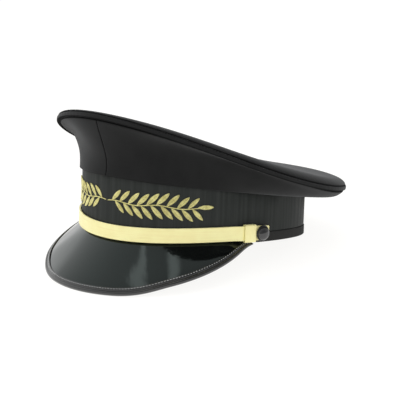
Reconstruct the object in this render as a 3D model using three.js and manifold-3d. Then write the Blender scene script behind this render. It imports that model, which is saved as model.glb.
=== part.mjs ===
// Peaked valet cap: a stiff head band dressed with a ribbon and a hem, a wide bell crown with a
// piped rim, a glossy peak with a bound edge, and a chin strap held by two keepers and buttons.
// Millimetres, +Z up. The front of the cap is -Y and the wearer's left is +X.
//
// The cap is laid out level on the head first: X and Y from the middle of the band, Z from its
// foot, and every station round the head is an angle in degrees from the front (0) through the
// wearer's left (90) to the back (180). At the end the whole cap is tipped onto the floor, where
// it stands by itself on the edge of the peak and the back of the band.
import * as THREE from "three";
import Module from "manifold-3d";

const wasm = await Module();
wasm.setup();

const DEG = Math.PI / 180;
const GAP = 0.3; // clearance left between neighbouring pieces

// Head: outside of the ribbon, measured at the foot of the band.
const HEAD_HALF_LENGTH = 104;
const HEAD_HALF_WIDTH = 87;
const FORWARD_LEAN = 0.063; // how far the band runs forward per millimetre of height

// Band, ribbon and hem, given as offsets out from the outside of the ribbon.
const RIBBON = { inner: -1.0, outer: 0 };
const BAND = { inner: -3.3, outer: -1.3 };
const HEM = { inner: -3.6, outer: 0.5, height: 8, lip: 1.2 };
const BAND_FOOT_SADDLE = 2.93; // the foot rises at the sides and drops front and back
const BAND_TOP = { middle: 40.9, rise: 8.4 }; // visible height, taller at the front
const RIBBON_TUCK = 1.5; // ribbon hidden behind the fold of the crown
const BAND_TUCK = 6; // stiff band hidden inside the crown

// Stations over which the foot of the band lets go of the peak, and settles onto the floor behind.
const PEAK_HOLD = { from: 74, to: 81, tuck: 0.5 };
const BACK_REST = { from: 138, to: 173 };

// Chin strap, its keepers and its buttons.
const STRAP = { width: 12, thickness: 1.6, off: 0.8, end: 85.8, rise: 3.6, saddle: 4.8, bevel: 0.5 };
const STRAP_LIFT = { by: 1.0, from: 67, to: 71 }; // the strap passes over the back of a keeper
const KEEPER = { at: 74.7, halfWidth: 2.9, reach: 7.3, back: 0.8, backWall: 0.7, wall: 1.2 };
const BUTTON = { at: 81.4, radius: 6.35, seat: 3.8, postRadius: 1.5, postEnd: -4.5 };
const BUTTON_DOME = [ // height over the seat, and how far inside the full radius
  [0, 0.7], [0.7, 0], [1.9, 0.25], [3.4, 1.6], [4.6, 3.6], [5.2, 5.45],
];
const HOLE = { radius: 1.8, from: -8, to: 3.7 };

// Rim of the crown: an oval in plan, fuller behind and a little flat at the sides. It stands high
// at the front, low at the back and droops at the sides.
const RIM = { halfLength: 132.4, halfWidth: 119.5, back: 0.8, egg: -0.078, pinch: 0.075 };
const RIM_HEIGHT = { middle: 62.9, tilt: 27.5, saddle: 8, ripple: -0.5 };
const WELT = { depth: 2.6, halfHeight: 1.9, round: 0.6, corner: 0.5 };
const CROWN_THICKNESS = 2;
const CROWN_INSET = 0.8; // the cloth stands this far inside the face of the welt
const WALL_SEAT = 0.4; // the wall leaves this far out from the ribbon
const WALL_CLEAR = 2.4; // room for the cloth of the wall where it meets the welt
const PARTING = 0.08; // degrees between the seams and the edges of the two sides
const ROLL = { width: 12, middle: 6.6, saddle: -1.35 }; // rounded edge of the top panel

// Wall of the crown, one row per station: the direction it leaves the band and the direction it
// meets the rim, in degrees out from straight up, and how firmly each direction is held.
const WALL_ROWS = [
  { station: 0, leave: -8, arrive: 23.5, leaveHold: 0.34, arriveHold: 0.34 },
  { station: 45, leave: 5, arrive: 79, leaveHold: 0.76, arriveHold: 0.21 },
  { station: 90, leave: 95, arrive: 95, leaveHold: 0.51, arriveHold: 0.29 },
  { station: 135, leave: 95, arrive: 21, leaveHold: 0.36, arriveHold: 0.37 },
  { station: 180, leave: 94.6, arrive: 5.3, leaveHold: 0.35, arriveHold: 0.38 },
];

// Peak: its outer edge as waves of the sweep angle, -90 at one end, 0 in front, 90 at the other.
const PEAK_EDGE = {
  across: { first: 102.5, third: 17.4 },
  along: { middle: -21, first: -95.8, third: -19.5 },
  height: { middle: -6.73, first: -20.9, second: -9.9, third: -3.4 },
};
const PEAK = { rootEnd: 76, rootOffset: -1.5, rootDrop: 1.1, thickness: 2.2, sweep: 89 };
// The peak rises straight out of the band by this slope, more at the sides, and turns down at its
// rim, the more suddenly the higher the power.
const CAMBER = { slope: 0.03, more: 0.018, from: 20, to: 46, power: 9 };
const EDGE_REST = { from: 12, to: 32 }; // sweep over which the edge leaves the floor
const END_DROP = { by: 2, from: 68, to: 90 }; // the ends dip to pass under the keepers
const END_THIN = { to: 0.55, from: 60, until: 88 }; // peak and binding thin towards the ends
const BINDING = { lip: 6, lipShare: 0.45, halfHeight: 2.5, wall: 1.2, turn: 0.2 };
const BINDING_NOSE = [ // inside the edge, and share of the half height
  [0.8, 0.75], [0.15, 0.35], [0, 0], [0.15, -0.35], [0.8, -0.75],
];

// Rest: the tip of the cap when it stands on the floor, and the height of the floor below the foot.
const REST_TIP = 9.081;
const REST_FLOOR = -19.415;

// How finely the pieces are cut.
const AROUND = 72; // stations round the cap
const SIDE_STEPS = 36;
const WALL_STEPS = 8;
const TOP_SHARES = [0.2, 0.45, 0.7, 0.9, 0.93, 0.96, 0.985, 0.996, 1];
const UNDER_SHARES = [1, 0.985, 0.96, 0.93, 0.9, 0.6, 0.3];
const PEAK_STEPS = 48;
const PEAK_SHARES = [0, 0.2, 0.4, 0.6, 0.73, 0.83, 0.9, 0.95, 1];
const STRAP_STEPS = 64;
const KEEPER_STEPS = 4;
const BUTTON_SIDES = 24;
const HOLE_SIDES = 16;

const smooth = (from, to, x) => {
  const t = Math.min(Math.max((x - from) / (to - from), 0), 1);
  return t * t * (3 - 2 * t);
};

const wave = (k, degrees) => Math.cos(k * degrees * DEG);

const wrapped = (degrees) => {
  const turned = ((degrees % 360) + 540) % 360;
  return turned - 180;
};

/** Height above the floor of a point of the level cap. */
const overFloor = (point) =>
  point.z * Math.cos(REST_TIP * DEG) - point.y * Math.sin(REST_TIP * DEG) - REST_FLOOR;

/** Point beside the head band: station, offset out from the ribbon, height over the foot. */
function besideHead(station, offset, height) {
  return new THREE.Vector3(
    (HEAD_HALF_WIDTH + offset) * Math.sin(station * DEG),
    -(HEAD_HALF_LENGTH + offset) * Math.cos(station * DEG) - FORWARD_LEAN * height,
    height,
  );
}

/** Direction straight out of the band at a station. */
function outOfHead(station) {
  const along = new THREE.Vector3(
    HEAD_HALF_WIDTH * Math.cos(station * DEG),
    HEAD_HALF_LENGTH * Math.sin(station * DEG),
    0,
  );
  const up = new THREE.Vector3(0, -FORWARD_LEAN, 1);
  return along.cross(up).normalize();
}

const strapFoot = (station) => STRAP.rise * wave(1, station) - STRAP.saddle * wave(2, station);

const bandTop = (station) => BAND_TOP.middle + BAND_TOP.rise * wave(1, station);

/** Height of the foot of the band, flat on the floor at the back and tucked up over the peak. */
function bandFoot(station, offset) {
  const turn = Math.abs(wrapped(station));
  const free = -BAND_FOOT_SADDLE * wave(2, station);
  const front = 1 - smooth(PEAK_HOLD.from, PEAK_HOLD.to, turn);
  const foot = free + front * (strapFoot(station) + PEAK_HOLD.tuck - free);
  const level = besideHead(station, offset, 0);
  const tip = REST_TIP * DEG;
  const floor = (REST_FLOOR + level.y * Math.sin(tip)) / (Math.cos(tip) + FORWARD_LEAN * Math.sin(tip));
  const rest = smooth(BACK_REST.from, BACK_REST.to, turn);
  return foot + rest * (floor - foot);
}

/** Even curve through the wall rows, mirrored at the front and the back. */
function wallValue(name, station) {
  const turn = Math.abs(wrapped(station)) / 45;
  const row = Math.min(Math.floor(turn), 3);
  const t = turn - row;
  const at = (index) => {
    const mirrored = Math.abs(index);
    return WALL_ROWS[mirrored > 4 ? 8 - mirrored : mirrored][name];
  };
  const [a, b, c, d] = [at(row - 1), at(row), at(row + 1), at(row + 2)];
  const linear = (c - a) * t;
  const square = (2 * a - 5 * b + 4 * c - d) * t * t;
  const cube = (3 * b - a - 3 * c + d) * t * t * t;
  return 0.5 * (2 * b + linear + square + cube);
}

/** Point of the crown over a station, drawn in from the rim by a share in plan and in height. */
function rimPoint(station, planShare = 1, heightShare = 1) {
  const side = Math.sin(station * DEG);
  const oval = (1 + RIM.egg * wave(1, station)) * (1 - RIM.pinch * side ** 4);
  const across = RIM.halfWidth * side * oval;
  const along = -RIM.halfLength * wave(1, station);
  const height =
    RIM_HEIGHT.middle +
    RIM_HEIGHT.tilt * heightShare * wave(1, station) +
    RIM_HEIGHT.saddle * heightShare ** 2 * wave(2, station) +
    RIM_HEIGHT.ripple * heightShare ** 3 * wave(3, station);
  return new THREE.Vector3(across * planShare, RIM.back + along * planShare, height);
}

const outward = (station) =>
  new THREE.Vector3(Math.sin(station * DEG), -Math.cos(station * DEG), 0);

/** Outer face of the crown wall: share 0 at the band, 1 at the rim. */
function wallPoint(station, share) {
  const leave = wallValue("leave", station) * DEG;
  const arrive = wallValue("arrive", station) * DEG;
  const out = outward(station);
  const up = new THREE.Vector3(0, 0, 1);
  const seat = WALL_SEAT + CROWN_THICKNESS * Math.max(Math.cos(leave), 0);
  const start = besideHead(station, seat, bandTop(station));
  const inside = CROWN_INSET + WALL_CLEAR * Math.sin(arrive);
  const below = WALL_CLEAR * Math.max(Math.cos(arrive), 0) + WELT.halfHeight * Math.sin(arrive);
  const end = rimPoint(station).addScaledVector(out, -inside).addScaledVector(up, -below);
  const span = start.distanceTo(end);
  const leaveSpan = wallValue("leaveHold", station) * span;
  const arriveSpan = wallValue("arriveHold", station) * span;
  const first = start.clone()
    .addScaledVector(up, leaveSpan * Math.cos(leave))
    .addScaledVector(out, leaveSpan * Math.sin(leave));
  const second = end.clone()
    .addScaledVector(up, -arriveSpan * Math.cos(arrive))
    .addScaledVector(out, -arriveSpan * Math.sin(arrive));
  return new THREE.CubicBezierCurve3(start, first, second, end).getPoint(share);
}

/** Top panel: share 0 in the middle, 1 at the seam with the welt, depth below its upper face. */
function topPoint(station, share, depth) {
  const full = rimPoint(station);
  const reach = Math.hypot(full.x, full.y - RIM.back);
  const scale = share * (1 - (CROWN_INSET + depth) / reach);
  const inset = (1 - share) * reach;
  const rollHeight = ROLL.middle + ROLL.saddle * share ** 2 * wave(2, station) - depth;
  const seam = WELT.halfHeight + GAP;
  const turn = Math.min(inset / (ROLL.width - depth), 1);
  const lift = seam + (rollHeight - seam) * Math.sqrt(1 - (1 - turn) ** 2);
  return rimPoint(station, scale, share).add(new THREE.Vector3(0, 0, lift));
}

/** Outer edge of the bound peak at a sweep angle, resting on the floor in front. */
function peakEdge(sweep) {
  const { across, along, height } = PEAK_EDGE;
  const shape = (angle) =>
    new THREE.Vector3(
      across.first * Math.sin(angle * DEG) + across.third * Math.sin(3 * angle * DEG),
      along.middle + along.first * wave(1, angle) + along.third * wave(3, angle),
      height.middle +
        height.first * wave(1, angle) +
        height.second * wave(2, angle) +
        height.third * wave(3, angle),
    );
  const edge = shape(sweep);
  const rest = 1 - smooth(EDGE_REST.from, EDGE_REST.to, Math.abs(sweep));
  const drop = rest * (overFloor(edge) - overFloor(shape(0)));
  edge.y += drop * Math.sin(REST_TIP * DEG);
  edge.z -= drop * Math.cos(REST_TIP * DEG);
  edge.z -= END_DROP.by * smooth(END_DROP.from, END_DROP.to, Math.abs(sweep));
  return edge;
}

/** Middle of the peak's thickness: share 0 under the band, 1 at the outer edge. */
function peakPoint(sweep, share) {
  const station = (PEAK.rootEnd * sweep) / 90;
  const foot = bandFoot(station, PEAK.rootOffset);
  const root = besideHead(station, PEAK.rootOffset, foot - PEAK.rootDrop);
  const edge = peakEdge(sweep);
  const fall = edge.clone().sub(root);
  const flat = Math.hypot(fall.x, fall.y);
  const slope = CAMBER.slope + CAMBER.more * smooth(CAMBER.from, CAMBER.to, Math.abs(sweep));
  const bulge = slope * fall.length() * (share - share ** CAMBER.power);
  const normal = new THREE.Vector3(-fall.x * fall.z, -fall.y * fall.z, flat * flat).normalize();
  return root.addScaledVector(fall, share).addScaledVector(normal, bulge);
}

/** Unit normal of a surface given as a function of two numbers. */
function normalOf(surface, a, b) {
  const step = 1e-3;
  const alongA = surface(a + step, b).sub(surface(a - step, b));
  const alongB = surface(a, b + step).sub(surface(a, b - step));
  return alongA.cross(alongB).normalize();
}

const wallNormal = (station, share) =>
  normalOf(wallPoint, station, Math.min(Math.max(share, 2e-3), 1 - 2e-3));

const peakNormal = (sweep, share) => normalOf(peakPoint, sweep, share);

/** Evenly spaced numbers from one end to the other, both included. */
const steps = (from, to, count) =>
  Array.from({ length: count + 1 }, (_, i) => from + ((to - from) * i) / count);

const stationsRound = () => steps(0, 360, AROUND).slice(0, -1);

/** Closed body from points and triangles, its faces turned outward. */
function bodyOf(points, triangles) {
  let volume = 0;
  for (const [a, b, c] of triangles) {
    volume += points[a].dot(points[b].clone().cross(points[c]));
  }
  const outwardFaces = volume > 0 ? triangles : triangles.map(([a, b, c]) => [a, c, b]);
  const geometry = new THREE.BufferGeometry();
  const positions = points.flatMap((point) => point.toArray());
  geometry.setAttribute("position", new THREE.Float32BufferAttribute(positions, 3));
  geometry.setIndex(outwardFaces.flat());
  return geometry;
}

/** Triangles filling a flat outline, as positions in that outline. */
function fill(outline) {
  const normal = new THREE.Vector3();
  outline.forEach((point, i) => {
    const next = outline[(i + 1) % outline.length];
    normal.add(point.clone().cross(next));
  });
  normal.normalize();
  const across = outline[1].clone().sub(outline[0]).projectOnPlane(normal).normalize();
  const along = normal.clone().cross(across);
  const flat = outline.map((point) => new THREE.Vector2(point.dot(across), point.dot(along)));
  return THREE.ShapeUtils.triangulateShape(flat, []);
}

/** Body made by joining one outline to the next, closed round on itself or capped at both ends. */
function sweepBody(sections, closed) {
  const size = sections[0].length;
  const points = sections.flat();
  const triangles = [];
  const spans = closed ? sections.length : sections.length - 1;
  for (let i = 0; i < spans; i += 1) {
    const here = i * size;
    const there = ((i + 1) % sections.length) * size;
    for (let k = 0; k < size; k += 1) {
      const next = (k + 1) % size;
      triangles.push([here + k, there + k, there + next]);
      triangles.push([here + k, there + next, here + next]);
    }
  }
  if (!closed) {
    const last = (sections.length - 1) * size;
    fill(sections[0]).forEach(([a, b, c]) => triangles.push([a, b, c]));
    fill(sections.at(-1)).forEach(([a, b, c]) => triangles.push([last + a, last + c, last + b]));
  }
  return bodyOf(points, triangles);
}

/** Body made of rings between two end points. */
function ringBody(start, rings, end) {
  const size = rings[0].length;
  const points = [start, ...rings.flat(), end];
  const triangles = [];
  const endIndex = points.length - 1;
  const lastRing = 1 + (rings.length - 1) * size;
  for (let k = 0; k < size; k += 1) {
    const next = (k + 1) % size;
    triangles.push([0, 1 + k, 1 + next]);
    triangles.push([endIndex, lastRing + next, lastRing + k]);
    for (let i = 0; i < rings.length - 1; i += 1) {
      const here = 1 + i * size;
      const there = here + size;
      triangles.push([here + k, there + k, there + next]);
      triangles.push([here + k, there + next, here + next]);
    }
  }
  return bodyOf(points, triangles);
}

/** Body turned about an axis, from rows of distance along the axis and radius. */
function turnedBody(origin, axis, rows, segments) {
  const across = new THREE.Vector3(0, 0, 1).cross(axis).normalize();
  const up = axis.clone().cross(across);
  const rings = rows.map(([distance, radius]) =>
    steps(0, 360, segments).slice(0, -1).map((angle) =>
      origin.clone()
        .addScaledVector(axis, distance)
        .addScaledVector(across, radius * Math.cos(angle * DEG))
        .addScaledVector(up, radius * Math.sin(angle * DEG))));
  const start = origin.clone().addScaledVector(axis, rows[0][0]);
  const end = origin.clone().addScaledVector(axis, rows.at(-1)[0]);
  return ringBody(start, rings, end);
}

const asManifold = (geometry) =>
  new wasm.Manifold(new wasm.Mesh({
    numProp: 3,
    vertProperties: new Float32Array(geometry.getAttribute("position").array),
    triVerts: new Uint32Array(geometry.getIndex().array),
  }));

/** A body with several others taken out of it. */
function cutBody(geometry, tools) {
  const left = tools.reduce((body, tool) => body.subtract(asManifold(tool)), asManifold(geometry));
  const mesh = left.getMesh();
  const result = new THREE.BufferGeometry();
  result.setAttribute("position", new THREE.Float32BufferAttribute(mesh.vertProperties, 3));
  result.setIndex(Array.from(mesh.triVerts));
  return result;
}

function crownSide(side) {
  const shares = steps(0, 1, WALL_STEPS);
  const sections = steps(PARTING, 180 - PARTING, SIDE_STEPS).map((station) => {
    const turn = station * side;
    const outer = shares.map((share) => wallPoint(turn, share));
    const inner = shares.map((share, i) =>
      outer[i].clone().addScaledVector(wallNormal(turn, share), -CROWN_THICKNESS));
    return [...outer, ...inner.reverse()];
  });
  return sweepBody(sections, false);
}

function crownTop() {
  const ringAt = (share, depth) => stationsRound().map((station) => topPoint(station, share, depth));
  const outer = TOP_SHARES.map((share) => ringAt(share, 0));
  const inner = UNDER_SHARES.map((share) => ringAt(share, CROWN_THICKNESS));
  const middle = topPoint(0, 0, 0);
  const under = topPoint(0, 0, CROWN_THICKNESS);
  return ringBody(middle, [...outer, ...inner], under);
}

function crownWelt() {
  const { depth, halfHeight, round, corner } = WELT;
  const outline = [
    [-corner, -halfHeight], [0, -halfHeight + round], [0, halfHeight - round],
    [-corner, halfHeight], [-depth, halfHeight], [-depth, -halfHeight],
  ];
  const sections = stationsRound().map((station) =>
    outline.map(([out, up]) =>
      rimPoint(station).addScaledVector(outward(station), out).add(new THREE.Vector3(0, 0, up))));
  return sweepBody(sections, true);
}

/** Ring round the head from an outline of offset and height at each station. */
function headRing(outlineAt) {
  const sections = stationsRound().map((station) =>
    outlineAt(station).map(([offset, height]) => besideHead(station, offset, height)));
  return sweepBody(sections, true);
}

const band = () =>
  headRing((station) => {
    const foot = bandFoot(station, BAND.outer) + HEM.lip + GAP;
    const top = bandTop(station) + BAND_TUCK;
    return [[BAND.inner, foot], [BAND.outer, foot], [BAND.outer, top], [BAND.inner, top]];
  });

const ribbon = () =>
  headRing((station) => {
    const foot = bandFoot(station, HEM.outer) + HEM.height + GAP;
    const top = bandTop(station) + RIBBON_TUCK;
    return [[RIBBON.inner, foot], [RIBBON.outer, foot], [RIBBON.outer, top], [RIBBON.inner, top]];
  });

const hem = () =>
  headRing((station) => {
    const outerFoot = bandFoot(station, HEM.outer);
    const innerFoot = bandFoot(station, HEM.inner);
    const shelf = bandFoot(station, BAND.outer) + HEM.lip;
    return [
      [HEM.inner, innerFoot], [HEM.outer, outerFoot],
      [HEM.outer, outerFoot + HEM.height], [BAND.outer + GAP, outerFoot + HEM.height],
      [BAND.outer + GAP, shelf], [HEM.inner, shelf],
    ];
  });

const peakSweeps = () => steps(-PEAK.sweep, PEAK.sweep, PEAK_STEPS);

const peakWidth = (sweep) => peakPoint(sweep, 0).distanceTo(peakPoint(sweep, 1));

/** How much of its full thickness the peak keeps at a sweep angle. */
const thinned = (sweep) =>
  1 + (END_THIN.to - 1) * smooth(END_THIN.from, END_THIN.until, Math.abs(sweep));

function peak() {
  const sections = peakSweeps().map((sweep) => {
    const end = 1 - (BINDING.wall + GAP) / peakWidth(sweep);
    const shares = PEAK_SHARES.map((share) => share * end);
    const half = (thinned(sweep) * PEAK.thickness) / 2;
    const face = (side) =>
      shares.map((share) =>
        peakPoint(sweep, share).addScaledVector(peakNormal(sweep, share), side * half));
    return [...face(1), ...face(-1).reverse()];
  });
  return sweepBody(sections, false);
}

function peakBinding() {
  const { lip, lipShare, wall, turn } = BINDING;
  const sections = peakSweeps().map((sweep) => {
    const width = peakWidth(sweep);
    const half = BINDING.halfHeight * thinned(sweep);
    const throat = (PEAK.thickness * thinned(sweep)) / 2 + GAP;
    const reach = Math.min(lip, lipShare * width);
    const nose = BINDING_NOSE.map(([inside, share]) => [inside, share * half]);
    const middle = (reach + wall) / 2;
    const outline = [
      [reach, half - turn], [reach / 2, half], ...nose, [reach / 2, -half], [reach, turn - half],
      [reach, -throat], [middle, -throat], [wall, -throat],
      [wall, throat], [middle, throat], [reach, throat],
    ];
    return outline.map(([inside, over]) => {
      const share = 1 - inside / width;
      return peakPoint(sweep, share).addScaledVector(peakNormal(sweep, share), over);
    });
  });
  return sweepBody(sections, false);
}

/** How far the strap stands off the ribbon, lifted where it passes over the back of a keeper. */
const strapOffset = (station) =>
  STRAP.off + STRAP_LIFT.by * smooth(STRAP_LIFT.from, STRAP_LIFT.to, Math.abs(station));

const strap = () => {
  const { bevel } = STRAP;
  const sections = steps(-STRAP.end, STRAP.end, STRAP_STEPS).map((station) => {
    const inner = strapOffset(station);
    const outer = inner + STRAP.thickness;
    const foot = strapFoot(station);
    const top = foot + STRAP.width;
    return [
      [inner, foot], [outer - bevel, foot], [outer, foot + bevel],
      [outer, top - bevel], [outer - bevel, top], [inner, top],
    ].map(([offset, height]) => besideHead(station, offset, height));
  });
  return sweepBody(sections, false);
};

/** Loop round the strap: an outer and an inner frame joined through the width of the keeper. */
function keeper(side) {
  const strapOut = STRAP.off + STRAP_LIFT.by + STRAP.thickness;
  const outerFace = strapOut + GAP + KEEPER.wall;
  const [from, to] = [KEEPER.at - KEEPER.halfWidth, KEEPER.at + KEEPER.halfWidth];
  const frames = steps(from, to, KEEPER_STEPS).map((station) => {
    const middle = strapFoot(station) + STRAP.width / 2;
    const outside = [
      [KEEPER.back, -KEEPER.reach], [outerFace, -KEEPER.reach],
      [outerFace, KEEPER.reach], [KEEPER.back, KEEPER.reach],
    ];
    const hole = STRAP.width / 2 + GAP;
    const inside = [
      [KEEPER.back + KEEPER.backWall, -hole], [strapOut + GAP, -hole],
      [strapOut + GAP, hole], [KEEPER.back + KEEPER.backWall, hole],
    ];
    const place = ([offset, up]) => besideHead(side * station, offset, middle + up);
    return [...outside.map(place), ...inside.map(place)];
  });
  const points = frames.flat();
  const triangles = [];
  const quad = (a, b, c, d) => triangles.push([a, b, c], [a, c, d]);
  for (let i = 0; i < frames.length - 1; i += 1) {
    const here = i * 8;
    const there = here + 8;
    for (let k = 0; k < 4; k += 1) {
      const next = (k + 1) % 4;
      quad(here + k, there + k, there + next, here + next);
      quad(here + 4 + next, there + 4 + next, there + 4 + k, here + 4 + k);
    }
  }
  const last = (frames.length - 1) * 8;
  for (let k = 0; k < 4; k += 1) {
    const next = (k + 1) % 4;
    quad(k, next, next + 4, k + 4);
    quad(last + next, last + k, last + k + 4, last + next + 4);
  }
  return bodyOf(points, triangles);
}

const buttonOrigin = (side) =>
  besideHead(side * BUTTON.at, 0, strapFoot(BUTTON.at) + STRAP.width / 2);

function button(side) {
  const { radius, seat, postRadius, postEnd } = BUTTON;
  const dome = BUTTON_DOME.map(([over, inside]) => [seat + over, radius - inside]);
  const rows = [[postEnd, postRadius], [seat, postRadius], ...dome];
  return turnedBody(buttonOrigin(side), outOfHead(side * BUTTON.at), rows, BUTTON_SIDES);
}

const buttonHole = (side) => {
  const rows = [[HOLE.from, HOLE.radius], [HOLE.to, HOLE.radius]];
  return turnedBody(buttonOrigin(side), outOfHead(side * BUTTON.at), rows, HOLE_SIDES);
};

const holes = [buttonHole(1), buttonHole(-1)];

const CLOTH = { color: 0x1d1d1f, roughness: 0.95, metalness: 0 };
const SATIN = { color: 0x26262a, roughness: 0.6, metalness: 0 };
const PATENT = { color: 0x0c0c0d, roughness: 0.12, metalness: 0 };
const EDGING = { color: 0x151516, roughness: 0.4, metalness: 0 };
const STRAW_GOLD = { color: 0xd8c37a, roughness: 0.45, metalness: 0.35 };
const BUTTON_BLACK = { color: 0x121213, roughness: 0.2, metalness: 0 };

const pieces = [
  ["crown_top", crownTop(), CLOTH],
  ["crown_welt", crownWelt(), CLOTH],
  ["crown_side_left", crownSide(1), CLOTH],
  ["crown_side_right", crownSide(-1), CLOTH],
  ["band", cutBody(band(), holes), CLOTH],
  ["band_ribbon", cutBody(ribbon(), holes), SATIN],
  ["band_hem", cutBody(hem(), holes), CLOTH],
  ["peak", peak(), PATENT],
  ["peak_binding", peakBinding(), EDGING],
  ["chin_strap", cutBody(strap(), holes), STRAW_GOLD],
  ["strap_keeper_left", keeper(1), STRAW_GOLD],
  ["strap_keeper_right", keeper(-1), STRAW_GOLD],
  ["button_left", button(1), BUTTON_BLACK],
  ["button_right", button(-1), BUTTON_BLACK],
];

const cap = new THREE.Group();
cap.name = "valet_cap";
for (const [name, geometry, finish] of pieces) {
  geometry.rotateX(-REST_TIP * DEG);
  const mesh = new THREE.Mesh(geometry, new THREE.MeshStandardMaterial(finish));
  mesh.name = name;
  cap.add(mesh);
}

const bounds = new THREE.Box3().setFromObject(cap);
const centre = bounds.getCenter(new THREE.Vector3());
for (const mesh of cap.children) {
  mesh.geometry.translate(-centre.x, -centre.y, -bounds.min.z);
}

export default cap;
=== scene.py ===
"""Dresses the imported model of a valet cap: cloth crown, ribboned band, patent peak, gold strap.

Every surface is laid out in millimetres on the level cap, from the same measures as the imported
solids, and is then tipped onto the floor and turned into metres by Head.placed. Stations are
angles in degrees round the head: 0 in front, 90 at the wearer's left, 180 at the back.
"""

import logging
import math
from dataclasses import dataclass, field
from enum import Enum
from typing import Any, Callable, Sequence

import bpy
import numpy as np
from mathutils import Matrix, Vector


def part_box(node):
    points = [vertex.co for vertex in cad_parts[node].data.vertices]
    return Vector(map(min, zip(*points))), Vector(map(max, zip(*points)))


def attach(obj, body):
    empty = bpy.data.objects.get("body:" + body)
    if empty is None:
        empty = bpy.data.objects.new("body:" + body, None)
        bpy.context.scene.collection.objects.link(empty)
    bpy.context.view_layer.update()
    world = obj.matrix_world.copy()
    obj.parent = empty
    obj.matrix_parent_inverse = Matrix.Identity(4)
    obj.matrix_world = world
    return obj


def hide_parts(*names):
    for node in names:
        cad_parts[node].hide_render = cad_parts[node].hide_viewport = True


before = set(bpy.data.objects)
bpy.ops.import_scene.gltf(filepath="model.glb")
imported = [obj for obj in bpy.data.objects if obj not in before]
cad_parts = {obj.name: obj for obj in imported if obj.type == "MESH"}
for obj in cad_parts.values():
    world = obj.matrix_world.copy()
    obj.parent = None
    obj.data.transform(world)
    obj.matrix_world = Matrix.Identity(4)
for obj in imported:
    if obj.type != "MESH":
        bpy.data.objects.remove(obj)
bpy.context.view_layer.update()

MM = 0.001
BODY = "root"
CLOTH_MAP = "cloth"
# Name of the point attribute that holds how much painted shade darkens the cloth at seams and folds.
CREASE_SHADE = "crease_shade"
GAP = 0.3

Array = np.ndarray
Surface = Callable[[Array, Array], Array]
log = logging.getLogger("valet_cap")


# ---------------------------------------------------------------- numbers and surfaces


def smooth(start: float, stop: float, value: Array) -> Array:
    """Even ramp from 0 at start to 1 at stop.

    Args:
        start: Value where the ramp leaves 0.
        stop: Value where it reaches 1.
        value: Numbers to put on the ramp.

    Returns:
        The ramp at each number.
    """
    share = np.clip((np.asarray(value, float) - start) / (stop - start), 0.0, 1.0)
    return share * share * (3.0 - 2.0 * share)


def wave(count: float, degrees: Array) -> Array:
    """Cosine that turns count times as fast as the angle in degrees."""
    return np.cos(count * np.radians(degrees))


def vectors(x: Array, y: Array, z: Array) -> Array:
    """Points or directions from three broadcast arrays of numbers."""
    return np.stack(np.broadcast_arrays(x, y, z), axis=-1).astype(float)


def unit(directions: Array) -> Array:
    """The directions, each of length 1."""
    return directions / np.linalg.norm(directions, axis=-1, keepdims=True)


def facing(surface: Surface, first: Array, second: Array, step: float = 1e-3) -> Array:
    """Unit normals of a surface given as a function of two numbers.

    Args:
        surface: Function from two arrays to points.
        first: First numbers.
        second: Second numbers.
        step: Distance over which the slopes are taken.

    Returns:
        One unit vector for each pair of numbers.
    """
    along = surface(first + step, second) - surface(first - step, second)
    across = surface(first, second + step) - surface(first, second - step)
    return unit(np.cross(along, across))


def rounded_drop(distance: Array, radius: float) -> Array:
    """How far a rounded edge falls away at a distance from that edge."""
    inside = np.clip(radius - np.asarray(distance, float), 0.0, radius)
    return radius - np.sqrt(radius * radius - inside * inside)


def evenly(path: Array, count: int) -> Array:
    """A path of points, shared out again as count points at even distances."""
    lengths = np.linalg.norm(np.diff(path, axis=0), axis=1)
    reached = np.concatenate([[0.0], np.cumsum(lengths)])
    wanted = np.linspace(0.0, reached[-1], count)
    return np.stack([np.interp(wanted, reached, path[:, axis]) for axis in range(path.shape[1])], 1)


@dataclass(frozen=True)
class Drift:
    """Slow unevenness of a worked surface, the same each time it is made."""

    seed: int
    wavelength: float
    height: float
    waves: int = 14

    def at(self, points: Array) -> Array:
        """Height of the unevenness at points in millimetres."""
        chance = np.random.default_rng(self.seed)
        ways = unit(chance.normal(size=(self.waves, 3)))
        rates = 2.0 * math.pi / (self.wavelength * chance.uniform(0.7, 1.7, self.waves))
        phases = chance.uniform(0.0, 2.0 * math.pi, self.waves)
        turns = np.sin((points @ ways.T) * rates + phases)
        return self.height * turns.sum(axis=-1) / math.sqrt(self.waves)


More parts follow.
